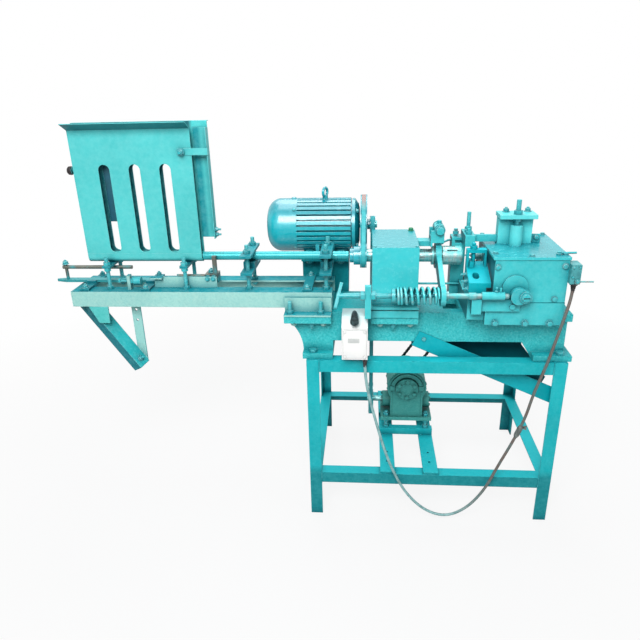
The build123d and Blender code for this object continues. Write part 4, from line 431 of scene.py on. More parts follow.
finish.update({name: soft(name, look) for name, look in softs.items()})

# cord sheath: pale with spray on the left, brown grey on the right, x in metres
sheath = {
    "left": (150, 192, 192), "right": (112, 100, 94), "dirt": (84, 128, 128), "from": 0.47, "to": 0.6,
    "patch": (45, 0.42, 0.68), "mix": 0.6, "rough": (0.42, 0.6), "grain": 900, "bump": (0.15, 0.3)}


def cordSheath(look):
    made, tree, place = blank("cordSheath")
    side = ramp(tree, axisOf(tree, place, 0), look["from"], look["to"])
    colour = blend(tree, side, tint(look["left"]), tint(look["right"]))
    patch = spots(tree, place, *look["patch"])
    colour = blend(tree, scaled(tree, patch, look["mix"]), colour, tint(look["dirt"]))
    rough = ramp(tree, patch, 0.0, 1.0, *look["rough"])
    finishShader(tree, colour, rough, [(noise(tree, place, look["grain"]), *look["bump"])])
    return made


finish["cordSheath"] = cordSheath(sheath)
print("finishes:", len(finish))

# which finish each CAD piece gets
dressed = {
    "standPaint": "stand_legs stand_top_rails stand_lower_rails",
    "motorStandShadedPaint": "motor_stand",
    "bracePaint": "table_brace",
    "bedCasting": "bed_casting",
    "hopperPaint": "hopper_front hopper_trough",
    "guidePaint": "hopper_guide",
    "hopperBackPaint": "hopper_back",
    "tablePaint": "table_rails table_clamp feed_guides",
    "motorPaint": "motor_housing motor_shield motor_fan_cover motor_pulley feed_pulley cone_pulley",
    "coverPaint": "headstock_cover cam_box_lid",
    "boxPaint": "cam_box cam_box_plates headstock_base fork_lever tool_rest spring_post",
    "bracketLitPaint": "lid_bracket",
    "clampPaint": "cross_straps",
    "chutePaint": "bead_chute tool_slide",
    "reducerPaint": "reducer_case",
    "nutPaint": "hex_bolts threaded_studs stop_screw tension_screw adjusting_screw eccentric_cam camshaft",
    "spindleSteel": "spindle sliding_sleeve drill_quill motor_rotor worm_shaft wheel_shaft spindle_bearings",
    "tubeSteel": "feed_tube",
    "rodSteel": "push_rod limit_whisker",
    "barSteel": "pusher_bar",
    "beltRubber": "main_belt",
    "feedRubber": "feed_belt",
    "whitePlastic": "switch_box",
    "handlePlastic": "switch_handle",
    "switchGrey": "limit_switch",
}
for name, nodes in dressed.items():
    for nodeName in nodes.split():
        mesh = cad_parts[nodeName].data
        mesh.materials.clear()
        mesh.materials.append(finish[name])


def addPiece(name, mesh, material, body):
    mesh.materials.clear()
    mesh.materials.append(finish[material])
    mesh.polygons.foreach_set("material_index", [0] * len(mesh.polygons))
    made = bpy.data.objects.new(name, mesh)
    scene.collection.objects.link(made)
    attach(made, body)
    return made


# cord from the switch box to the limit switch, route in metres
cordLook = {
    "radius": 4.5, "length": 1.63, "bootLow": (34, 8.5, 5.2, 5), "bootHigh": (26, 8.5, 5.2, 4),
    "steps": 12, "round": 4, "tapeBetween": (12, 13), "tapeLength": 46, "tapeRadius": 8.2, "tapeEdge": 5.2,
    "tapeRings": 26, "tapeSides": 18, "tapeTaper": 5, "tapeRidges": (-0.25, 0.35, 0.35),
    "tapeTails": ((-14, 2), (24, -3)), "tailRing": -5, "tailReach": 11, "tailHalf": (9, 0.6, 3.4),
    "tailSoft": 0.4}
cordRoute = [
    (0.189, -0.263, 0.619), (0.189, -0.263, 0.5577), (0.203, -0.262, 0.476), (0.2259, -0.263, 0.3863),
    (0.2516, -0.265, 0.2897), (0.2849, -0.266, 0.1962), (0.3317, -0.265, 0.1058), (0.3978, -0.264, 0.0378),
    (0.4698, -0.263, 0.0161), (0.5359, -0.264, 0.056), (0.588, -0.266, 0.1345), (0.6201, -0.267, 0.2258),
    (0.6599, -0.266, 0.3224), (0.6903, -0.267, 0.412), (0.705, -0.271, 0.506), (0.7295, -0.277, 0.6),
    (0.7453, -0.285, 0.6939), (0.76, -0.287, 0.7698), (0.774, -0.276, 0.8241), (0.774, -0.276, 0.862),
]


def cordCurve(name, points, radius):
    curve = bpy.data.curves.new(name, "CURVE")
    curve.dimensions = "3D"
    curve.resolution_u = cordLook["steps"]
    spline = curve.splines.new("NURBS")
    spline.points.add(len(points) - 1)
    for point, place in zip(spline.points, points):
        point.co = (*place, 1)
    spline.order_u = 3
    spline.use_endpoint_u = True
    curve.bevel_depth = radius
    curve.bevel_resolution = cordLook["round"]
    curve.use_fill_caps = True
    made = bpy.data.objects.new(name, curve)
    scene.collection.objects.link(made)
    return made


def plainMesh(source):  # evaluated object as a mesh of its own
    bpy.context.view_layer.update()
    return bpy.data.meshes.new_from_object(source.evaluated_get(bpy.context.evaluated_depsgraph_get()))


def pathOf(points):  # places along the cord's spline, read from a bare curve
    bare = cordCurve("bareCord", points, 0)
    mesh = plainMesh(bare)
    places = [v.co / mm for v in mesh.vertices]
    bpy.data.meshes.remove(mesh)
    bpy.data.objects.remove(bare)
    return places


sharpFrom = 38  # degrees between faces that keep their edge


def smoothed(mesh):
    mesh.shade_smooth()
    mesh.set_sharp_from_angle(angle=math.radians(sharpFrom))
    return mesh


def turnTo(way):  # turns what points up towards a direction
    return Vector((0, 0, 1)).rotation_difference(Vector(way)).to_matrix()


def circle(count, start=0.0):
    angles = [start + 2 * math.pi * i / count for i in range(count)]
    return [Vector((math.cos(a), math.sin(a), 0)) for a in angles]


class Shape:  # mesh builder, millimetres in, metres out
    def __init__(self):
        self.bm = bmesh.new()

    def add(self, other, matrix):
        found = {v: self.bm.verts.new(matrix @ v.co) for v in other.verts}
        for face in other.faces:
            self.bm.faces.new([found[v] for v in face.verts])
        other.free()
        return self

    def block(self, x, y, z, soft=1.0, turn=None):  # rounded block between its limits
        part = bmesh.new()
        bmesh.ops.create_cube(part, size=1)
        limits = [Vector(side) for side in zip(x, y, z)]
        bmesh.ops.scale(part, vec=limits[1] - limits[0], verts=part.verts)
        bmesh.ops.bevel(part, geom=part.edges[:], offset=soft, segments=2, affect="EDGES", profile=0.6)
        return self.add(part, Matrix.Translation((limits[0] + limits[1]) / 2) @ (turn or Matrix()))

    def skin(self, rings):  # closed walls between rings of points, ends filled
        rings = [[self.bm.verts.new(place) for place in ring] for ring in rings]
        for low, high in zip(rings, rings[1:]):
            for i in range(max(len(low), len(high))):
                pair = (i, i + 1)
                corners = [low[k % len(low)] for k in pair] + [high[k % len(high)] for k in reversed(pair)]
                self.bm.faces.new(list(dict.fromkeys(corners)))
        for ring in (rings[0], rings[-1]):
            if len(ring) > 2:
                self.bm.faces.new(ring)
        return self

    def lathe(self, base, axis, profile, sides=32):  # profile: (along, radius) pairs
        turn = turnTo(axis)
        rings = []
        for along, radius in profile:
            spokes = circle(sides) if radius else [Vector()]
            lift = Vector(base) + turn @ Vector((0, 0, along))
            rings.append([lift + turn @ spoke * radius for spoke in spokes])
        return self.skin(rings)

    def tube(self, path, radii, sides=12):  # round bar along points
        rings = []
        for i, place in enumerate(path):
            turn = turnTo(Vector(path[min(i + 1, len(path) - 1)]) - Vector(path[max(i - 1, 0)]))
            rings.append([Vector(place) + turn @ spoke * radii[i] for spoke in circle(sides)])
        return self.skin(rings)

    def arch(self, axis, radii, angles, y, steps=28, soft=1.0):  # band round an axis along Y, y: front, back
        inner, outer = radii
        front, back = y
        section = (
            (inner, back), (inner, front + soft), (inner + soft, front),
            (outer - soft, front), (outer, front + soft), (outer, back))
        rings = []
        for i in range(steps + 1):
            a = math.radians(angles[0] + (angles[1] - angles[0]) * i / steps)
            rings.append([
                (axis.x + r * math.cos(a), depth, axis.z + r * math.sin(a)) for r, depth in section])
        return self.skin(rings)

    def mesh(self, name):
        bmesh.ops.scale(self.bm, vec=(mm, mm, mm), verts=self.bm.verts)
        bmesh.ops.recalc_face_normals(self.bm, faces=self.bm.faces)
        made = bpy.data.meshes.new(name)
        self.bm.to_mesh(made)
        self.bm.free()
        return smoothed(made)

    def piece(self, name, material, body="frame", slotName="painted_steel"):
        return addPiece(name, self.mesh(name), material, body)


def addTape(look):  # tape turns lie over each other
    path = pathOf(cordRoute)
    ends = [Vector(cordRoute[i]) / mm for i in look["tapeBetween"]]
    middle = min(path, key=lambda place: (place - (ends[0] + ends[1]) / 2).length)
    taped = [place for place in path if (place - middle).length < look["tapeLength"] / 2]
    wrap, swell = [], []
    for i in range(look["tapeRings"] + 1):
        share = i / look["tapeRings"]
        at = share * (len(taped) - 1)
        low = min(int(at), len(taped) - 2)
        wrap.append(taped[low].lerp(taped[low + 1], at - low))
        taper = min(1, look["tapeTaper"] * share, look["tapeTaper"] * (1 - share))
        ridge = look["tapeRidges"][i % len(look["tapeRidges"])]
        swell.append(look["tapeEdge"] + (look["tapeRadius"] - look["tapeEdge"]) * taper + ridge)
    made = Shape().tube(wrap, swell, look["tapeSides"])
    for lean, rise in look["tapeTails"]:  # loose ends of the tape
        end = wrap[look["tailRing"]] + Vector((look["tailReach"], 0, rise))
        turn = Matrix.Rotation(math.radians(lean), 4, "Y")
        limits = [(middle - half, middle + half) for middle, half in zip(end, look["tailHalf"])]
        made.block(*limits, look["tailSoft"], turn)
    return made.piece("cordTape", "tapeWrap", "frame", "tape")


# strain reliefs: collar as a share of the width and where it ends, where the taper and the ribs start, and a
# rib's groove as (share of the rib, depth)
bootLook = {
    "collar": 1.25, "collarTo": 5, "taperFrom": 5.5, "ribsFrom": 6, "rise": 0.5, "sides": 24,
    "groove": ((0.2, 0), (0.3, 0.8), (0.7, 0.8), (0.8, 0))}


def addBoot(name, end, size, look):  # below the place where the cord goes in
    length, wide, narrow, ribs = size
    collar = wide * look["collar"]
    profile = [(0, collar), (look["collarTo"], collar), (look["taperFrom"], wide)]
    step = (length - look["ribsFrom"]) / ribs
    for i in range(ribs):
        at, radius = look["ribsFrom"] + step * i, wide + (narrow - wide) * (i + 1) / ribs
        profile += [(at + share * step, radius - depth) for share, depth in look["groove"]]
    base = Vector(end) / mm + Vector((0, 0, look["rise"]))
    boot = Shape().lathe(base, (0, 0, -1), profile + [(length, narrow)], look["sides"])
    return boot.piece(name, "blackPlastic", "frame", "black_plastic")


cordPiece = cordCurve("cordLead", cordRoute, cordLook["radius"] * mm)
cordPiece.data.materials.append(finish["cordSheath"])
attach(cordPiece, "frame")
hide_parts("cord")
tapePiece = addTape(cordLook)
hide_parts("cord_joint")
bootLow = addBoot("cordBootSwitch", cordRoute[0], cordLook["bootLow"], bootLook)
bootHigh = addBoot("cordBootLimit", cordRoute[-1], cordLook["bootHigh"], bootLook)
print("cord done")


# geometry node trees
def newTree(name, sockets):
    tree = bpy.data.node_groups.new(name, "GeometryNodeTree")
    tree.interface.new_socket("Geometry", in_out="INPUT", socket_type="NodeSocketGeometry")
    for label, kind in sockets + [("Finish", "Material")]:
        tree.interface.new_socket(label, in_out="INPUT", socket_type="NodeSocket" + kind)
    tree.interface.new_socket("Geometry", in_out="OUTPUT", socket_type="NodeSocketGeometry")
    return tree, node(tree, "NodeGroupInput").outputs


def endTree(tree, given, geometry):
    real = node(tree, "GeometryNodeRealizeInstances", {"Geometry": geometry})
    done = node(tree, "GeometryNodeSetMaterial", {"Geometry": real.outputs[0], "Material": given["Finish"]})
    node(tree, "NodeGroupOutput", {"Geometry": done.outputs[0]})
    return tree


def moved(tree, geometry, x=0.0, y=0.0, z=0.0, turn=(0, 0, 0)):
    shift = node(tree, "ShaderNodeCombineXYZ", {"X": x, "Y": y, "Z": z})
    inputs = {"Geometry": geometry, "Translation": shift.outputs[0], "Rotation": turn}
    return node(tree, "GeometryNodeTransform", inputs).outputs[0]


def cylinder(tree, sides, radius, depth):
    inputs = {"Vertices": sides, "Radius": radius, "Depth": depth}
    return node(tree, "GeometryNodeMeshCylinder", inputs).outputs[0]


def joined(tree, parts):
    made = node(tree, "GeometryNodeJoinGeometry")
    for part in parts:
        tree.links.new(part, made.inputs[0])
    return made.outputs[0]


def copied(tree, points, shape, **others):
    inputs = {"Points": points, "Instance": shape, **others}
    return node(tree, "GeometryNodeInstanceOnPoints", inputs).outputs[0]


def randomValue(tree, low, high, seed):
    inputs = {2: low, 3: high, "Seed": seed}
    return node(tree, "FunctionNodeRandomValue", inputs, data_type="FLOAT").outputs[1]


def alongLine(tree, given, way, value):  # points along each line, by length or by count
    curve = node(tree, "GeometryNodeMeshToCurve", {0: given["Geometry"]})
    inputs = {"Curve": curve.outputs[0], way.title(): value}
    return node(tree, "GeometryNodeResampleCurve", inputs, mode=way).outputs[0]


def aligned(tree, vector, axis, **settings):
    inputs = {"Vector": vector, **settings.pop("inputs", {})}
    return node(tree, "FunctionNodeAlignRotationToVector", inputs, axis=axis, **settings).outputs[0]


def boltTree():  # washer, head and end of the thread, turned to each point's facing
    tree, given = newTree("boltHeads", [
        ("Across", "Float"), ("Height", "Float"), ("Washer", "Float"), ("Tip", "Float"), ("Sides", "Int"),
        ("Seed", "Int")])
    height = given["Height"]
    washerShare, washerSides, tipShare = 0.22, 24, 1.2  # thickness and tip as shares of the height
    thick = scaled(tree, height, washerShare)
    tip = figure(tree, "ADD", scaled(tree, height, tipShare), given["Tip"])
    washer = cylinder(tree, washerSides, given["Washer"], thick)
    parts = [moved(tree, washer, z=scaled(tree, thick, 0.5))]
    # head, crown and end: sides, radius as a share of across, bottom and top as shares of the height
    rounds = ((given["Sides"], 0.57, 0.2, 1.08), (20, 0.5, 0.3, 1.22), (16, 0.27, 0.9, tip))
    for sides, width, low, high in rounds:
        bottom = scaled(tree, height, low)
        top = scaled(tree, height, high) if high is not tip else tip
        depth = figure(tree, "SUBTRACT", top, bottom)
        head = cylinder(tree, sides, scaled(tree, given["Across"], width), depth)
        parts.append(moved(tree, head, z=scaled(tree, figure(tree, "ADD", top, bottom), 0.5)))
    facing = node(tree, "GeometryNodeInputNamedAttribute", {"Name": "facing"}, data_type="FLOAT_VECTOR")
    angle = randomValue(tree, 0.0, 1.0, given["Seed"])
    spin = node(tree, "FunctionNodeAxisAngleToRotation", {"Axis": (0, 0, 1), "Angle": angle}).outputs[0]
    inputs = {0: aligned(tree, facing.outputs[0], "Z"), 1: spin}
    turn = node(tree, "FunctionNodeRotateRotation", inputs, rotation_space="LOCAL").outputs[0]
    return endTree(tree, given, copied(tree, given["Geometry"], joined(tree, parts), Rotation=turn))


def weldTree():  # overlapping blobs along each line
    tree, given = newTree("weldBeads", [("Size", "Float"), ("Spacing", "Float"), ("Seed", "Int")])
    points = alongLine(tree, given, "LENGTH", given["Spacing"])
    blob = node(tree, "GeometryNodeMeshIcoSphere", {"Radius": given["Size"], "Subdivisions": 1})
    least, most = 0.75, 1.2  # shares of the size
    size = randomValue(tree, least, most, given["Seed"])
    return endTree(tree, given, copied(tree, points, blob.outputs[0], Scale=size))


def threadTree():  # ridges across a stud
    tree, given = newTree("studThreads", [("Radius", "Float"), ("Pitch", "Float")])
    points = alongLine(tree, given, "LENGTH", given["Pitch"])
    turn = aligned(tree, node(tree, "GeometryNodeInputTangent").outputs[0], "Z")
    coreShare, slopeShare, sides = 0.93, 0.35, 14  # core of the radius, slope of the pitch
    inputs = {
        "Vertices": sides, "Radius Top": scaled(tree, given["Radius"], coreShare),
        "Radius Bottom": given["Radius"], "Depth": scaled(tree, given["Pitch"], slopeShare)}
    cones = []
    for lean in (0, math.pi):
        cone = node(tree, "GeometryNodeMeshCone", inputs)
        cones.append(moved(tree, cone.outputs[0], turn=(lean, 0, 0)))
    return endTree(tree, given, copied(tree, points, joined(tree, cones), Rotation=turn))


def wireTree():  # round wire along a line
    tree, given = newTree("bentWire", [("Radius", "Float"), ("Sides", "Int")])
    curve = node(tree, "GeometryNodeMeshToCurve", {0: given["Geometry"]})
    inputs = {"Resolution": given["Sides"], "Radius": given["Radius"]}
    ring = node(tree, "GeometryNodeCurvePrimitiveCircle", inputs)
    inputs = {"Curve": curve.outputs[0], "Profile Curve": ring.outputs[0], "Fill Caps": True}
    return endTree(tree, given, node(tree, "GeometryNodeCurveToMesh", inputs).outputs[0])


def chainTree():  # rollers with inner and outer plates in turn
    tree, given = newTree("rollerChain", [
        ("Links", "Int"), ("Pitch", "Float"), ("Roller", "Float"), ("Inside", "Float"), ("Plate", "Float"),
        ("Waist", "Float")])
    points = alongLine(tree, given, "COUNT", given["Links"])
    way = aligned(tree, node(tree, "GeometryNodeInputTangent").outputs[0], "X")
    turn = aligned(tree, (0, 1, 0), "Y", pivot_axis="X", inputs={"Rotation": way})
    across = (math.pi / 2, 0, 0)
    # a plate's bar of the waist, a roller of the room inside, an inner plate's middle past it in plates
    barShare, rollerShare, plateStep, rollerSides, eyeSides = 0.78, 0.96, 0.55, 12, 14
    half, room = scaled(tree, given["Pitch"], 0.5), scaled(tree, given["Inside"], 0.5)
    inputs = {"X": given["Pitch"], "Y": given["Plate"], "Z": scaled(tree, given["Waist"], barShare)}
    size = node(tree, "ShaderNodeCombineXYZ", inputs).outputs[0]
    roller = cylinder(tree, rollerSides, given["Roller"], scaled(tree, given["Inside"], rollerShare))
    count = node(tree, "GeometryNodeInputIndex").outputs[0]
    links = []
    for outer in (0, 1):
        gap = figure(tree, "ADD", room, scaled(tree, given["Plate"], plateStep + outer))
        parts = [moved(tree, roller, turn=across)]
        for side in (-1, 1):
            y = scaled(tree, gap, side)
            plate = node(tree, "GeometryNodeMeshCube", {"Size": size}).outputs[0]
            parts.append(moved(tree, plate, x=half, y=y))
            for x in (0.0, given["Pitch"]):
                eye = cylinder(tree, eyeSides, scaled(tree, given["Waist"], 0.5), given["Plate"])
                parts.append(moved(tree, eye, x=x, y=y, turn=across))
        odd = figure(tree, "MODULO", count, 2.0)
        inputs = {0: odd, 1: float(outer)}
        chosen = node(tree, "FunctionNodeCompare", inputs, data_type="FLOAT", operation="EQUAL").outputs[0]
        links.append(copied(tree, points, joined(tree, parts), Selection=chosen, Rotation=turn))
    return endTree(tree, given, joined(tree, links))


trees = {
    "bolt": boltTree(), "weld": weldTree(), "thread": threadTree(), "wire": wireTree(), "chain": chainTree()}


def byNodes(name, tree, mesh, sizes, material, body="frame"):
    carrier = bpy.data.objects.new(name + "Base", mesh)
    scene.collection.objects.link(carrier)
    modifier = carrier.modifiers.new("make", "NODES")
    modifier.node_group = trees[tree]
    values = {key: size * mm if isinstance(size, float) else size for key, size in sizes.items()}
    values["Finish"] = finish[material]
    for socket in trees[tree].interface.items_tree:
        if socket.in_out == "INPUT" and socket.name in values:
            modifier[socket.identifier] = values[socket.name]
    result = plainMesh(carrier)
    bpy.data.objects.remove(carrier)
    return addPiece(name, smoothed(result), material, body)


def lineMesh(lines, closed=False):  # each line a list of points
    verts, edges = [], []
    for line in lines:
        start = len(verts)
        verts += [Vector(place) * mm for place in line]
        edges += [(i, i + 1) for i in range(start, len(verts) - 1)]
        if closed:
            edges.append((len(verts) - 1, start))
    mesh = bpy.data.meshes.new("lines")
    mesh.from_pydata(verts, edges, [])
    return mesh


def spotMesh(placed):  # (point, facing) pairs
    mesh = bpy.data.meshes.new("spots")
    mesh.from_pydata([Vector(place) * mm for place, way in placed], [], [])
    facing = mesh.attributes.new("facing", "FLOAT_VECTOR", "POINT")
    for item, (place, way) in zip(facing.data, placed):
        item.vector = way
    return mesh


# push spring: closed coils at the left, open coils, one closed coil
spring = {
    "wire": 8.0, "tight": 2, "open": 5.5, "end": 1, "gap": 0.8, "steps": 40, "sides": 16, "keep": 0.906}


def springLine(look):
    low, high = box("push_spring")
    axis, radius = centre("push_spring"), (high.y - low.y - look["wire"]) / 2
    pitch = look["wire"] + look["gap"]
    closed = (look["tight"] + look["end"]) * pitch
    free = (high.x - low.x - look["wire"] - closed) / look["open"]
    points = []
    for i in range(int((look["tight"] + look["open"] + look["end"]) * look["steps"]) + 1):
        turn = i / look["steps"]
        opened = max(0, min(turn - look["tight"], look["open"]))
        run = opened * free + (turn - opened) * pitch
        a = 2 * math.pi * turn
        x = low.x + look["wire"] / 2 + run
        points.append((x, axis.y + radius * math.cos(a), axis.z + radius * math.sin(a)))
    return points


springSizes = {"Radius": spring["wire"] / 2, "Sides": spring["sides"]}
springPiece = byNodes(
    "pushSpringCoil", "wire", lineMesh([springLine(spring)]), springSizes, "springSteel", "frame")
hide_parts("push_spring")
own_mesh(springPiece)
print("spring done")

# roller chain behind the bed, round both chain wheels
chain = {"links": 102, "radius": 34.4, "roller": 3.4, "inside": 4.6, "plate": 1.1, "waist": 9.6, "steps": 40}


def loopLine(look):
    lean = math.atan2(camAxis.z - wheelAxis.z, camAxis.x - wheelAxis.x)
    y = centre("drive_chain").y
    points = []
    for axis, start in ((camAxis, lean - math.pi / 2), (wheelAxis, lean + math.pi / 2)):
        for i in range(look["steps"] + 1):
            a = start + math.pi * i / look["steps"]
            reach = Vector((math.cos(a), 0, math.sin(a))) * look["radius"]
            points.append(Vector((axis.x, y, axis.z)) + reach)
    return points


loop = loopLine(chain)
around = sum((a - b).length for a, b in zip(loop, loop[1:] + loop[:1]))
chainSizes = {key.title(): chain[key] for key in ("links", "roller", "inside", "plate", "waist")}
chainSizes["Pitch"] = around / chain["links"]
chainPiece = byNodes(
    "chainLinks", "chain", lineMesh([loop], True), chainSizes, "chainSteel", "frame")
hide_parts("drive_chain")
print("chain done")

# bolts and screws: size across, sides, places with the way each head faces
front, back, left, right, up, down = (0, -1, 0), (0, 1, 0), (-1, 0, 0), (1, 0, 0), (0, 0, 1), (0, 0, -1)


def onFace(nodeName, side, *marks, sunk=0, facing=None):
    # marks count from the low edges of the piece's box, or back from the high edges where negative
    low, high = box(nodeName)
    axis = next(i for i in range(3) if side[i])
    across = [i for i in range(3) if i != axis]
    placed = []
    for mark in marks:
        place = (high if side[axis] > 0 else low) - Vector(side) * sunk
        for i, step in zip(across, mark):
            place[i] = (low if step >= 0 else high)[i] + step
        placed.append((place, facing or side))
    return placed


def ringOf(middle, way, radius, count, start=0.0):  # bolts round a centre
    turn = turnTo(way)
    return [(Vector(middle) + turn @ spoke * radius, way) for spoke in circle(count, start)]


def aroundX(axis, x, radius, count, start):  # heads that point away from a shaft along X
    ways = [Vector((0, spoke.x, spoke.y)) for spoke in circle(count, start)]
    return [(Vector((x, axis.y, axis.z)) + way * radius, way) for way in ways]


# what bolts are set from: the fork's pivot from the headstock's corner and its bolts out from there, the
# motor's bolts in from its ends, the brace's bolt from its right, front and low edges, and half the flange
boltMarks = {
    "pivot": (14, 0, 14), "pivotOut": 29.6, "shieldIn": 13, "fanIn": 8, "brace": (22.4, 23.7, 47.4),
    "flange": (63, 49)}


def flangeSpots(rise, way):  # the four corners of the reducer's middle flange
    deep, wide = boltMarks["flange"]
    corners = [(x, y) for x in (-deep, deep) for y in (-wide, wide)]
    return [(Vector((wheelAxis.x + x, wormAxis.y + y, wheelAxis.z + rise)), way) for x, y in corners]


caseLow, caseHigh = box("reducer_case")
fanHigh = box("motor_fan_cover")[1]
pivot = box("headstock_base")[1] - Vector(boltMarks["pivot"])
pivot.y = spindleAxis.y
shieldX, fanX = box("motor_shield")[0].x + boltMarks["shieldIn"], fanHigh.x - boltMarks["fanIn"]
braceLow, braceHigh = box("table_brace")
braceIn, braceBack, braceUp = boltMarks["brace"]
braceSpot = Vector((braceHigh.x - braceIn, braceLow.y + braceBack, braceLow.z + braceUp))
quarter = math.pi / 4
boltSets = {
    "camPlateHeads": {"across": 13, "height": 5, "sides": 18, "at": onFace(
        "cam_box_plates", front, (69, -21), (-13, -18), (-32, 82), (72, 82), sunk=35)},
    "camPlateBolts": {"across": 15, "at": onFace(
        "cam_box_plates", front, (74, 7), (160, 7), (-37, 7), sunk=35)},
    "lidScrews": {"across": 12, "height": 5, "sides": 18, "at": onFace(
        "cam_box_lid", up, (11, 40), (-10, 26), (-12, -10), (11, -12), (106, 12), (106, -12))},
    "bracketBolts": {"across": 15, "tip": 4, "at": onFace("lid_bracket", up, (26, -14), (-18, -12))},
    "padBolts": {"across": 17, "tip": 3, "finish": "tablePaint", "at": onFace(
        "bed_casting", front, (295, -23), (386, -23), (28, -23), (120, -23), sunk=18, facing=down)},
    "padSetBolts": {"across": 13, "height": 14, "washer": 8, "tip": 6, "at": onFace(
        "bed_casting", front, (334, -23), (84, -23), sunk=18, facing=down)},
    "coverScrews": {"across": 8, "height": 3, "sides": 16, "at": onFace(
        "headstock_cover", up, (-7, 8), (7, 8)) + onFace("headstock_cover", front, (8, 12), (-8, 12))},
    "switchScrews": {"across": 7, "height": 3, "sides": 16, "finish": "whitePlastic", "at": onFace(
        "switch_box", front, (9, 11), (-9, 11), (9, 93), (-9, 93), sunk=1.6)},
    "limitScrews": {"across": 6, "height": 3, "sides": 16, "at": onFace(
        "limit_switch", front, (9, -7), (-6, -7), (9, 21), sunk=6)},
    "reducerCoverBolts": {"across": 12, "finish": "reducerPaint", "at": ringOf(
        (wheelAxis.x, caseLow.y, wheelAxis.z), front, 31, 6, 0.5) + ringOf(
        (wheelAxis.x, caseHigh.y, wheelAxis.z), back, 28, 6, 0.2)},
    "reducerFlangeBolts": {
        "across": 13, "tip": 5, "finish": "reducerPaint", "at": flangeSpots(9, up) + flangeSpots(-9, down)},
    "reducerTunnelBolts": {"across": 9, "finish": "reducerPaint", "at": ringOf(
        (caseLow.x + 7, wormAxis.y, wormAxis.z), left, 23, 4, 0.8) + ringOf(
        (caseHigh.x - 7, wormAxis.y, wormAxis.z), right, 20, 4, 0.8)},
    "fanCoverScrews": {
        "across": 8, "height": 3.5, "sides": 16, "at": aroundX(motorAxis, fanX, 87.6, 4, quarter)},
    "shieldBolts": {"across": 12, "at": ringOf((shieldX, motorAxis.y, motorAxis.z), right, 78, 4, quarter)},
    "strapBolts": {"across": 14, "tip": 4, "at": onFace(
        "table_rails", up, *[(x, y) for x in (43, 240, -77) for y in (17, -17)], sunk=-8)},
    "tableEndBolts": {"across": 15, "at": onFace("table_rails", left, (43, 24), (-43, 24))},
    "braceBolt": {"across": 13, "tip": 8, "at": [(braceSpot, braceInner)]},
    "strapNut": {"across": 15, "tip": 6, "at": onFace("hopper_front", front, (341, -87), sunk=31)},
    "pivotBolts": {"across": 22, "at": [
        (pivot + Vector(way) * boltMarks["pivotOut"], way) for way in (front, back)]},
    "chuteBolt": {"across": 9, "height": 4, "sides": 16, "at": onFace(
        "bead_chute", front, (37, -27.5), sunk=-0.2)},
    "forkOiler": {"across": 13, "body": "fork", "at": onFace("fork_lever", up, (16, -40), sunk=1)},
    "slideBolts": {"across": 11, "tip": 9, "body": "cross_slide", "at": onFace(
        "tool_slide", left, (59, 60.7), (37, 46.7), (15, 30.7))},
    "guideBolts": {"across": 12, "tip": 9, "body": "end_guide", "at": onFace(
        "hopper_guide", right, (14.7, 27), (14.7, 11))},
    "pusherNuts": {"across": 15, "tip": 4, "body": "pusher", "at": onFace(
        "pusher_bar", up, (36, 29.5), sunk=34) + onFace("pusher_bar", up, (-24, 25.5), sunk=59.8) + onFace(
        "pusher_bar", front, (-30, 19.7), (-11, 19.7), sunk=-0.1)},
    "whiskerScrew": {"across": 8, "height": 3, "sides": 16, "body": "whisker", "at": onFace(
        "limit_whisker", front, (8, 8))},
}


# where a set doesn't say: height and washer's radius as shares of the size across
plainBolt = {"height": 0.55, "washer": 0.72, "sides": 6, "seed": 7}


def bolts(name, look):
    across = float(look["across"])
    sizes = {
        "Across": across, "Height": float(look.get("height", plainBolt["height"] * across)),
        "Washer": float(look.get("washer", plainBolt["washer"] * across)), "Tip": float(look.get("tip", 0)),
        "Sides": look.get("sides", plainBolt["sides"]), "Seed": plainBolt["seed"]}
    material = look.get("finish", "nutPaint")
    return byNodes(name, "bolt", spotMesh(look["at"]), sizes, material, look.get("body", "frame"))


for name, look in boltSets.items():
    bolts(name, look)
print("bolts:", sum(len(look["at"]) for look in boltSets.values()))

# threads: the bar's radius, pitch, and the ends of each threaded stretch
tableLow, clampLow = box("table_rails")[0], box("table_clamp")[0]
postHigh, screwLow = box("tool_rest")[1], box("tension_screw")[0]
# studs: place along the table and height of each pair, half the pair's width, where the thread starts; the
# clamp's two, and those of the reducer's feet as half spans, with where they start and end
studs = {
    "tableTops": {118: 906, 367: 906, 568: 946, 811: 946}, "tableHalf": 50, "tableFrom": 32,
    "clampAt": (18, 113), "clampIn": 20, "clampUp": (11, 41), "feet": (72, 54), "feetUp": (-51, 29)}
bracketTop, adjusterTop = box("lid_bracket")[1].z, box("adjusting_screw")[1].z
adjuster, stop = centre("adjusting_screw"), centre("stop_screw")


def upright(x, y, low, high):
    return [(x, y, low), (x, y, high)]


def level(x, axis, length):
    return [(x, axis.y, axis.z), (x + length, axis.y, axis.z)]


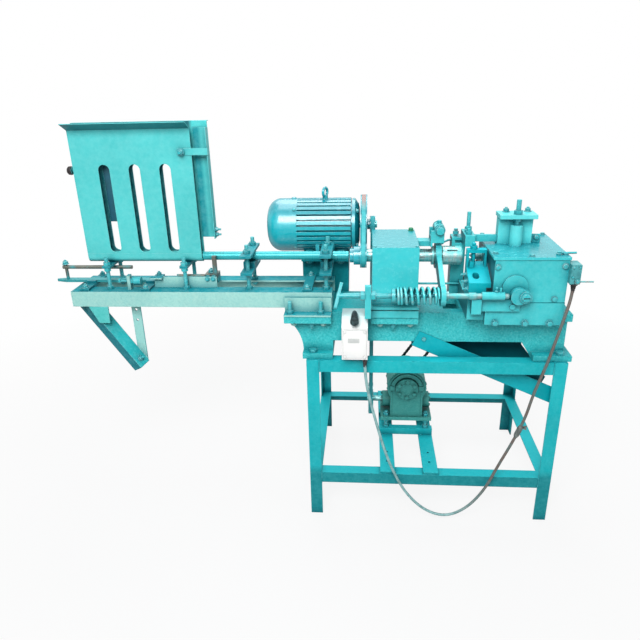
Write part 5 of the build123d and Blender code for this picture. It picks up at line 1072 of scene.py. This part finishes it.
tableStuds = [
    upright(tableLow.x + x, spindleAxis.y + side * studs["tableHalf"], tableLow.z + studs["tableFrom"], top)
    for x, top in studs["tableTops"].items() for side in (-1, 1)]
clampStuds = [
    upright(clampLow.x + x, clampLow.y + studs["clampIn"], *[clampLow.z + rise for rise in studs["clampUp"]])
    for x in studs["clampAt"]]
footX, footY = studs["feet"]
footStuds = [
    upright(wheelAxis.x + x, wormAxis.y + y, *[caseLow.z + rise for rise in studs["feetUp"]])
    for x in (-footX, footX) for y in (-footY, footY)]
threadSets = {
    "tableThreads": {"radius": 6.3, "pitch": 2.0, "at": tableStuds + clampStuds},
    "reducerThreads": {"radius": 6.3, "pitch": 2.0, "at": footStuds},
    "postThreads": {"radius": 6.3, "pitch": 2.0, "at": [
        upright(postHigh.x - 75.8, postHigh.y - 35, postHigh.z - 55, postHigh.z - 1),
        upright(postHigh.x - 111.8, postHigh.y - 23, postHigh.z - 76, postHigh.z - 56)]},
    "adjusterThreads": {"radius": 7.3, "pitch": 2.0, "body": "adjuster", "at": [
        upright(adjuster.x, adjuster.y, bracketTop + 2, adjusterTop - 1)]},
    "tensionThreads": {"radius": 8.3, "pitch": 2.2, "body": "tension_screw", "at": [
        level(screwLow.x + 29.5, rodAxis, 49), level(screwLow.x + 123.5, rodAxis, 42)]},
    "stopThreads": {"radius": 5.3, "pitch": 1.6, "body": "stop", "at": [
        level(box("stop_screw")[0].x + 7, stop, 21)]},
}
for name, look in threadSets.items():
    sizes = {"Radius": look["radius"], "Pitch": look["pitch"]}
    byNodes(name, "thread", lineMesh(look["at"]), sizes, "nutPaint", look.get("body", "frame"))
print("threads done")

# weld seams of the stand, the motor stand and the lid bracket: those on the legs' tops start and stop short,
# the motor's is (in from the ends, y, below the top), the bracket's are set from its low corner
weld = {
    "size": 2.1, "spacing": 2.3, "seed": 3, "proud": 0.3, "leg": 40, "inset": 1, "topFrom": 2, "topShort": 5,
    "motor": (1, 7.6, 12.6), "lidUp": 0.6, "lidEnd": (3.6, 35.5, 65.5), "lidFront": ((6, 78), 24, 33.1)}


def seamLines(look):
    low, high = box("stand_legs")
    lid, motor = box("lid_bracket")[0], box("motor_stand")
    proud, leg, inset = look["proud"], look["leg"], look["inset"]
    lines = []
    for nodeName in ("stand_top_rails", "stand_lower_rails"):
        foot = box(nodeName)[0].z + inset
        head = foot + leg - 2 * inset
        lines += [upright(x, low.y - proud, foot, head) for x in (low.x + leg, high.x - leg)]
        ends = [(x, y) for x in (low.x - proud, high.x + proud) for y in (low.y + leg, high.y - leg)]
        lines += [upright(x, y, foot, head) for x, y in ends]
    for x in (low.x + leg, high.x - leg):
        for y in (low.y + look["topFrom"], high.y - leg + look["topFrom"]):
            lines.append([(x, y, high.z + proud), (x, y + leg - look["topShort"], high.z + proud)])
    end, y, drop = look["motor"]
    lines.append([(motor[0].x + end, y, motor[1].z - drop), (motor[1].x - end, y, motor[1].z - drop)])
    foot = lid.z + look["lidUp"]
    x, *ends = look["lidEnd"]
    lines.append([(lid.x + x, lid.y + y, foot) for y in ends])
    starts, run, y = look["lidFront"]
    lines += [[(lid.x + x, lid.y + y, foot), (lid.x + x + run, lid.y + y, foot)] for x in starts]
    return lines


weldSizes = {"Size": weld["size"], "Spacing": weld["spacing"], "Seed": weld["seed"]}
byNodes("weldSeams", "weld", lineMesh(seamLines(weld)), weldSizes, "standPaint")

# turned fittings: finish, material slot, place with the way it points, (along, radius) pairs
fittingMarks = {"camProud": 0.2, "guide": (66, 11.6), "boss": (14, 1)}  # along and up, in and down
camFace = box("eccentric_cam")[0].y - fittingMarks["camProud"]
guideX, guideUp = fittingMarks["guide"]
rodGuide = Vector((box("cam_box_plates")[0].x + guideX, rodAxis.y, rodAxis.z + guideUp))
bossIn, bossDown = fittingMarks["boss"]
fanTop = Vector((fanHigh.x - bossIn, motorAxis.y, fanHigh.z - bossDown))
turned = {
    "coverOilCap": {
        "finish": "greenCap", "at": onFace("headstock_cover", up, (-12, -19))[0], "sides": 20,
        "profile": [(0, 9), (2, 9), (2.5, 7.5), (8, 7.5), (9.5, 6), (10, 0)]},
    "guideNipple": {
        "finish": "nutPaint", "at": (rodGuide, up), "sides": 14,
        "profile": [(0, 4.5), (4, 4.5), (4.5, 3), (9, 2.6), (11, 3.6), (14, 3.4), (16, 1.6), (16.5, 0)]},
    "fanCoverBoss": {
        "finish": "motorPaint", "at": (fanTop, up), "sides": 20,
        "profile": [(0, 9), (3, 8.6), (4.6, 6.5), (5, 0)]},
    "hopperKnob": {
        "finish": "blackPlastic", "slot": "black_plastic", "sides": 24,
        "at": onFace("hopper_back", left, (14.7, 258), sunk=13)[0],
        "profile": [(0, 8), (2, 12.6), (6, 13.4), (12, 12.6), (15.5, 9), (16.4, 0)]},
    "camHub": {
        "finish": "nutPaint", "body": "cam_shaft", "sides": 24,
        "at": (Vector((camAxis.x, camFace, camAxis.z)), front),
        "profile": [(0, 13), (2, 13), (2.6, 11.5), (5, 11), (5.6, 9.6), (5.7, 0)]},
    "reducerCoverRing": {
        "finish": "reducerPaint", "slot": "grey_green_casting", "sides": 32,
        "at": (Vector((wheelAxis.x, caseLow.y + 0.2, wheelAxis.z)), front),
        "profile": [(0, 24), (1.6, 24), (2.2, 23), (2.2, 20), (0.9, 19.4), (0.9, 0)]},
}
for name, look in turned.items():
    place, way = look["at"]
    made = Shape().lathe(place, way, look["profile"], look["sides"])
    made.piece(name, look["finish"], look.get("body", "frame"), look.get("slot", "painted_steel"))

# flat fittings: finish, material slot, the piece whose low corner they are set from, limits along x, y and z
flats = {
    "switchPanel": {
        "finish": "whitePlastic", "slot": "white_plastic", "from": "switch_box", "soft": 1.6,
        "limits": ((4, 74), (1.5, 4.2), (6, 98))},
    "switchLabel": {
        "finish": "labelBlank", "slot": "white_plastic", "from": "switch_box", "soft": 0.4,
        "limits": ((19, 53), (0.7, 1.8), (57, 71))},
    # dark blue sheet on the back plate behind the left slot: painted shade seen through the slot
    "hopperSlotShade": {
        "finish": "slotShadeBlue", "from": "hopper_back", "soft": 0.8,
        "limits": ((69, 137), (31.4, 34.2), (96, 288))},
    "plateSeam": {
        "finish": "chuteShade", "from": "cam_box_plates", "soft": 0.2,
        "limits": ((142, 266.6), (34.7, 35.6), (69, 71))},
    "sleeveKeyway": {
        "finish": "darkGap", "slot": "steel", "body": "sleeve", "from": "sliding_sleeve", "soft": 0.4,
        "limits": ((45, 75), (6.8, 13.6), (50.6, 51.7))},
    "camSlot": {
        "finish": "darkGap", "slot": "steel", "body": "cam_shaft", "from": "eccentric_cam", "soft": 0.2,
        "limits": ((32, 50), (-6.3, -5.6), (22.6, 25.4))},
}
for name, look in flats.items():
    corner = box(look["from"])[0]
    limits = [(corner[i] + look["limits"][i][0], corner[i] + look["limits"][i][1]) for i in range(3)]
    made = Shape().block(*limits, look["soft"])
    made.piece(name, look["finish"], look.get("body", "frame"), look.get("slot", "painted_steel"))

# catch and angle on the cam box lid, from the lid's top left corner, the angle in from its back edge
lid = {
    "catch": (184, 28, 4.4), "bar": ((16, 2, 0.2), (49, 4, 0.2)), "barRadius": 3.2,
    "nut": [(0, 8), (4, 8), (4.6, 6), (9, 6), (9.6, 0)], "nutDrop": 4, "nutSides": 6,
    "angle": (140, 28, 34, 4, 26), "angleIn": 104, "angleUp": (0.2, 2),
    "bolt": 12, "boltIn": 22, "boltUp": 17}


def addLidFittings(look):
    low, high = box("cam_box_lid")
    corner = Vector((low.x, low.y, high.z))
    start = corner + Vector(look["catch"])
    path = [start] + [start + Vector(step) for step in look["bar"]]
    catch = Shape().tube(path, [look["barRadius"]] * 3)
    base = start - Vector((0, 0, look["nutDrop"]))
    catch.lathe(base, up, look["nut"], look["nutSides"]).piece("lidCatch", "nutPaint")
    along, wide, deep, thick, tall = look["angle"]
    foot, wall = look["angleUp"]
    x, y, z = corner.x + along, high.y - look["angleIn"], corner.z
    angle = Shape().block((x, x + wide), (y, y + deep), (z + foot, z + thick))
    angle.block((x, x + wide), (y, y + thick), (z + wall, z + tall)).piece("lidAngle", "boxPaint")
    middle = x + wide / 2
    heads = [
        (Vector((middle, y + look["boltIn"], z + thick)), up),
        (Vector((middle, y, z + look["boltUp"])), front)]
    bolts("lidAngleBolts", {"across": look["bolt"], "at": heads})


addLidFittings(lid)

# lever of the rear post: from its eye down to its ball, from the post's high corner
lever = {
    "path": ((-123.8, -25, -90), (-135.8, -27, -92), (-151.8, -30, -98)), "radius": 3.4,
    "ball": [(0, 2), (1.5, 5), (5, 6.4), (9, 5), (11, 0)], "ballBack": 3, "ballSides": 16}


def addLever(look):
    path = [postHigh + Vector(step) for step in look["path"]]
    way = (path[2] - path[1]).normalized()
    made = Shape().tube(path, [look["radius"]] * 3)
    made.lathe(path[2] - way * look["ballBack"], way, look["ball"], look["ballSides"])
    made.piece("postLever", "nutPaint")


addLever(lever)

# plate behind the bead chute: along x and up from the chute's low corner, inside its back wall
chutePlate = {
    "outline": ((92.8, 164.5), (361.8, 165.3), (382.8, 137.3), (464.8, 29.3), (458, 5)), "y": (-4, -2)}


def addChutePlate(look):
    low, high = box("bead_chute")
    sides = [[(low.x + x, high.y + y, low.z + z) for x, z in look["outline"]] for y in look["y"]]
    Shape().skin(sides).piece("chuteBackPlate", "chuteShade")


addChutePlate(chutePlate)

# ribs of the switch grip
grip = {"count": 9, "pitch": 4.2, "half": 9.2, "length": 20, "thick": 1.2, "proud": (2.1, -0.7), "soft": 0.6}


def addGripRibs(look):
    low, high = box("switch_handle")
    x, z = (low.x + high.x) / 2, high.z - look["length"]
    ribs = Shape()
    for i in range(look["count"]):
        rise = (i - look["count"] // 2) * look["pitch"]
        half = look["half"] * math.sqrt(1 - (rise / look["length"]) ** 2)
        y = [low.y - step for step in look["proud"]]
        span = (z + rise - look["thick"], z + rise + look["thick"])
        ribs.block((x - half, x + half), y, span, look["soft"])
    ribs.piece("switchGripRibs", "handlePlastic", "handle", "black_plastic")


addGripRibs(grip)

# drill chuck: nose, knurled sleeve and jaws, from the bit's left end
chuck = {
    "from": 24.2, "jaws": 3, "jawLength": 7, "jawSpread": 4.4, "jawFrom": 1.8, "jawMiddle": 0.6,
    "jawRadii": (6, 5, 2.4), "jawSides": 6, "sides": 28, "profile": [
        (0, 9), (1, 13.3), (4, 13.6), (5, 12.6), (6, 13.6), (20, 13.6), (21, 12.8), (24, 12.6)]}


def addChuck(look):
    nose = Vector((box("drill_quill")[0].x + look["from"], spindleAxis.y, spindleAxis.z))
    made = Shape().lathe(nose, right, look["profile"], look["sides"])
    for spoke in circle(look["jaws"]):
        tip = Vector((-look["jawLength"], look["jawSpread"] * spoke.x, look["jawSpread"] * spoke.y))
        path = [nose + Vector((look["jawFrom"], 0, 0)), nose + tip * look["jawMiddle"], nose + tip]
        made.tube(path, look["jawRadii"], look["jawSides"])
    made.piece("drillChuck", "spindleSteel", "quill", "steel")


addChuck(chuck)

# ribs on the front of the reducer: band over the shaft cover, ledges beside it and posts below
ribs = {
    "bands": (((44, 57), (12, 168), 7.5), ((60, 64.5), (24, 156), 10.5)), "wall": 14.5,
    "ledge": ((41, 60), 7, (-8.6, 8.6)), "post": ((52, 58), 11.5, (-110.2, -16.2)), "soft": 1.2}


def addReducerRibs(look):
    wall = caseLow.y + look["wall"]
    made = Shape()
    for radii, angles, depth in look["bands"]:
        made.arch(wheelAxis, radii, angles, (caseLow.y + depth, wall))
    for side in (-1, 1):
        for span, depth, rise in (look["ledge"], look["post"]):
            x = sorted(wheelAxis.x + side * step for step in span)
            z = [wheelAxis.z + step for step in rise]
            made.block(x, (caseLow.y + depth, wall), z, look["soft"])
    made.piece("reducerArch", "reducerPaint", "frame", "grey_green_casting")


addReducerRibs(ribs)
print("fittings done")

# floor and light
stage = {
    "floor": (0.62, 0.63, 0.64, 1), "near": 0.88, "from": 0.9, "clear": 2.4, "half": 9, "world": 0.18,
    "aim": (0.1, -0.1, 0.7)}
lamps = {
    "key": {"place": (-0.2, -2.5, 2.7), "size": 1.5, "watts": 95},
    "top": {"place": (0.3, 0.4, 3.2), "size": 2.0, "watts": 40},
    "side": {"place": (2.6, -1.4, 1.8), "size": 1.4, "watts": 7},
    "rear": {"place": (-0.6, 2.2, 3.6), "size": 2.0, "watts": 40},
}


def addFloor(look):
    made, tree, place = blank("floorPale")
    ray = node(tree, "ShaderNodeLightPath")
    cloth = node(tree, "ShaderNodeBsdfDiffuse", {"Color": look["floor"]})
    white = node(tree, "ShaderNodeEmission", {"Color": (1, 1, 1, 1), "Strength": 1.0})
    away = node(tree, "ShaderNodeVectorMath", {0: place}, operation="LENGTH").outputs["Value"]
    fade = ramp(tree, away, look["from"], look["clear"], look["near"])
    seen = scaled(tree, ray.outputs["Is Camera Ray"], fade)
    both = node(tree, "ShaderNodeMixShader", {0: seen, 1: cloth.outputs[0], 2: white.outputs[0]})
    node(tree, "ShaderNodeOutputMaterial", {"Surface": both.outputs[0]})
    mesh = bpy.data.meshes.new("floor")
    corners = [(x * look["half"], y * look["half"], 0) for x, y in ((-1, -1), (1, -1), (1, 1), (-1, 1))]
    mesh.from_pydata(corners, [], [(0, 1, 2, 3)])
    mesh.materials.append(made)
    floor = bpy.data.objects.new("floor", mesh)
    scene.collection.objects.link(floor)


def addWorld(look):  # white where it is seen, weaker as light
    world = bpy.data.worlds.new("studio")
    scene.world = world
    world.use_nodes = True
    tree = world.node_tree
    tree.nodes.clear()
    ray = node(tree, "ShaderNodeLightPath")
    straight = figure(tree, "MAXIMUM", ray.outputs["Is Camera Ray"], ray.outputs["Is Glossy Ray"])
    straight = figure(tree, "MAXIMUM", straight, ray.outputs["Is Transmission Ray"])
    power = ramp(tree, straight, 0.0, 1.0, look["world"])
    sky = node(tree, "ShaderNodeBackground", {"Color": (1, 1, 1, 1), "Strength": power})
    node(tree, "ShaderNodeOutputWorld", {"Surface": sky.outputs[0]})


def addLamp(name, look, aim):
    lamp = bpy.data.lights.new(name, "AREA")
    lamp.size = look["size"]
    lamp.energy = look["watts"]
    made = bpy.data.objects.new(name, lamp)
    made.location = look["place"]
    made.rotation_euler = (Vector(aim) - Vector(look["place"])).to_track_quat("-Z", "Y").to_euler()
    scene.collection.objects.link(made)


addFloor(stage)
addWorld(stage)
for name, look in lamps.items():
    addLamp(name, look, stage["aim"])
bpy.context.view_layer.update()
print("done")
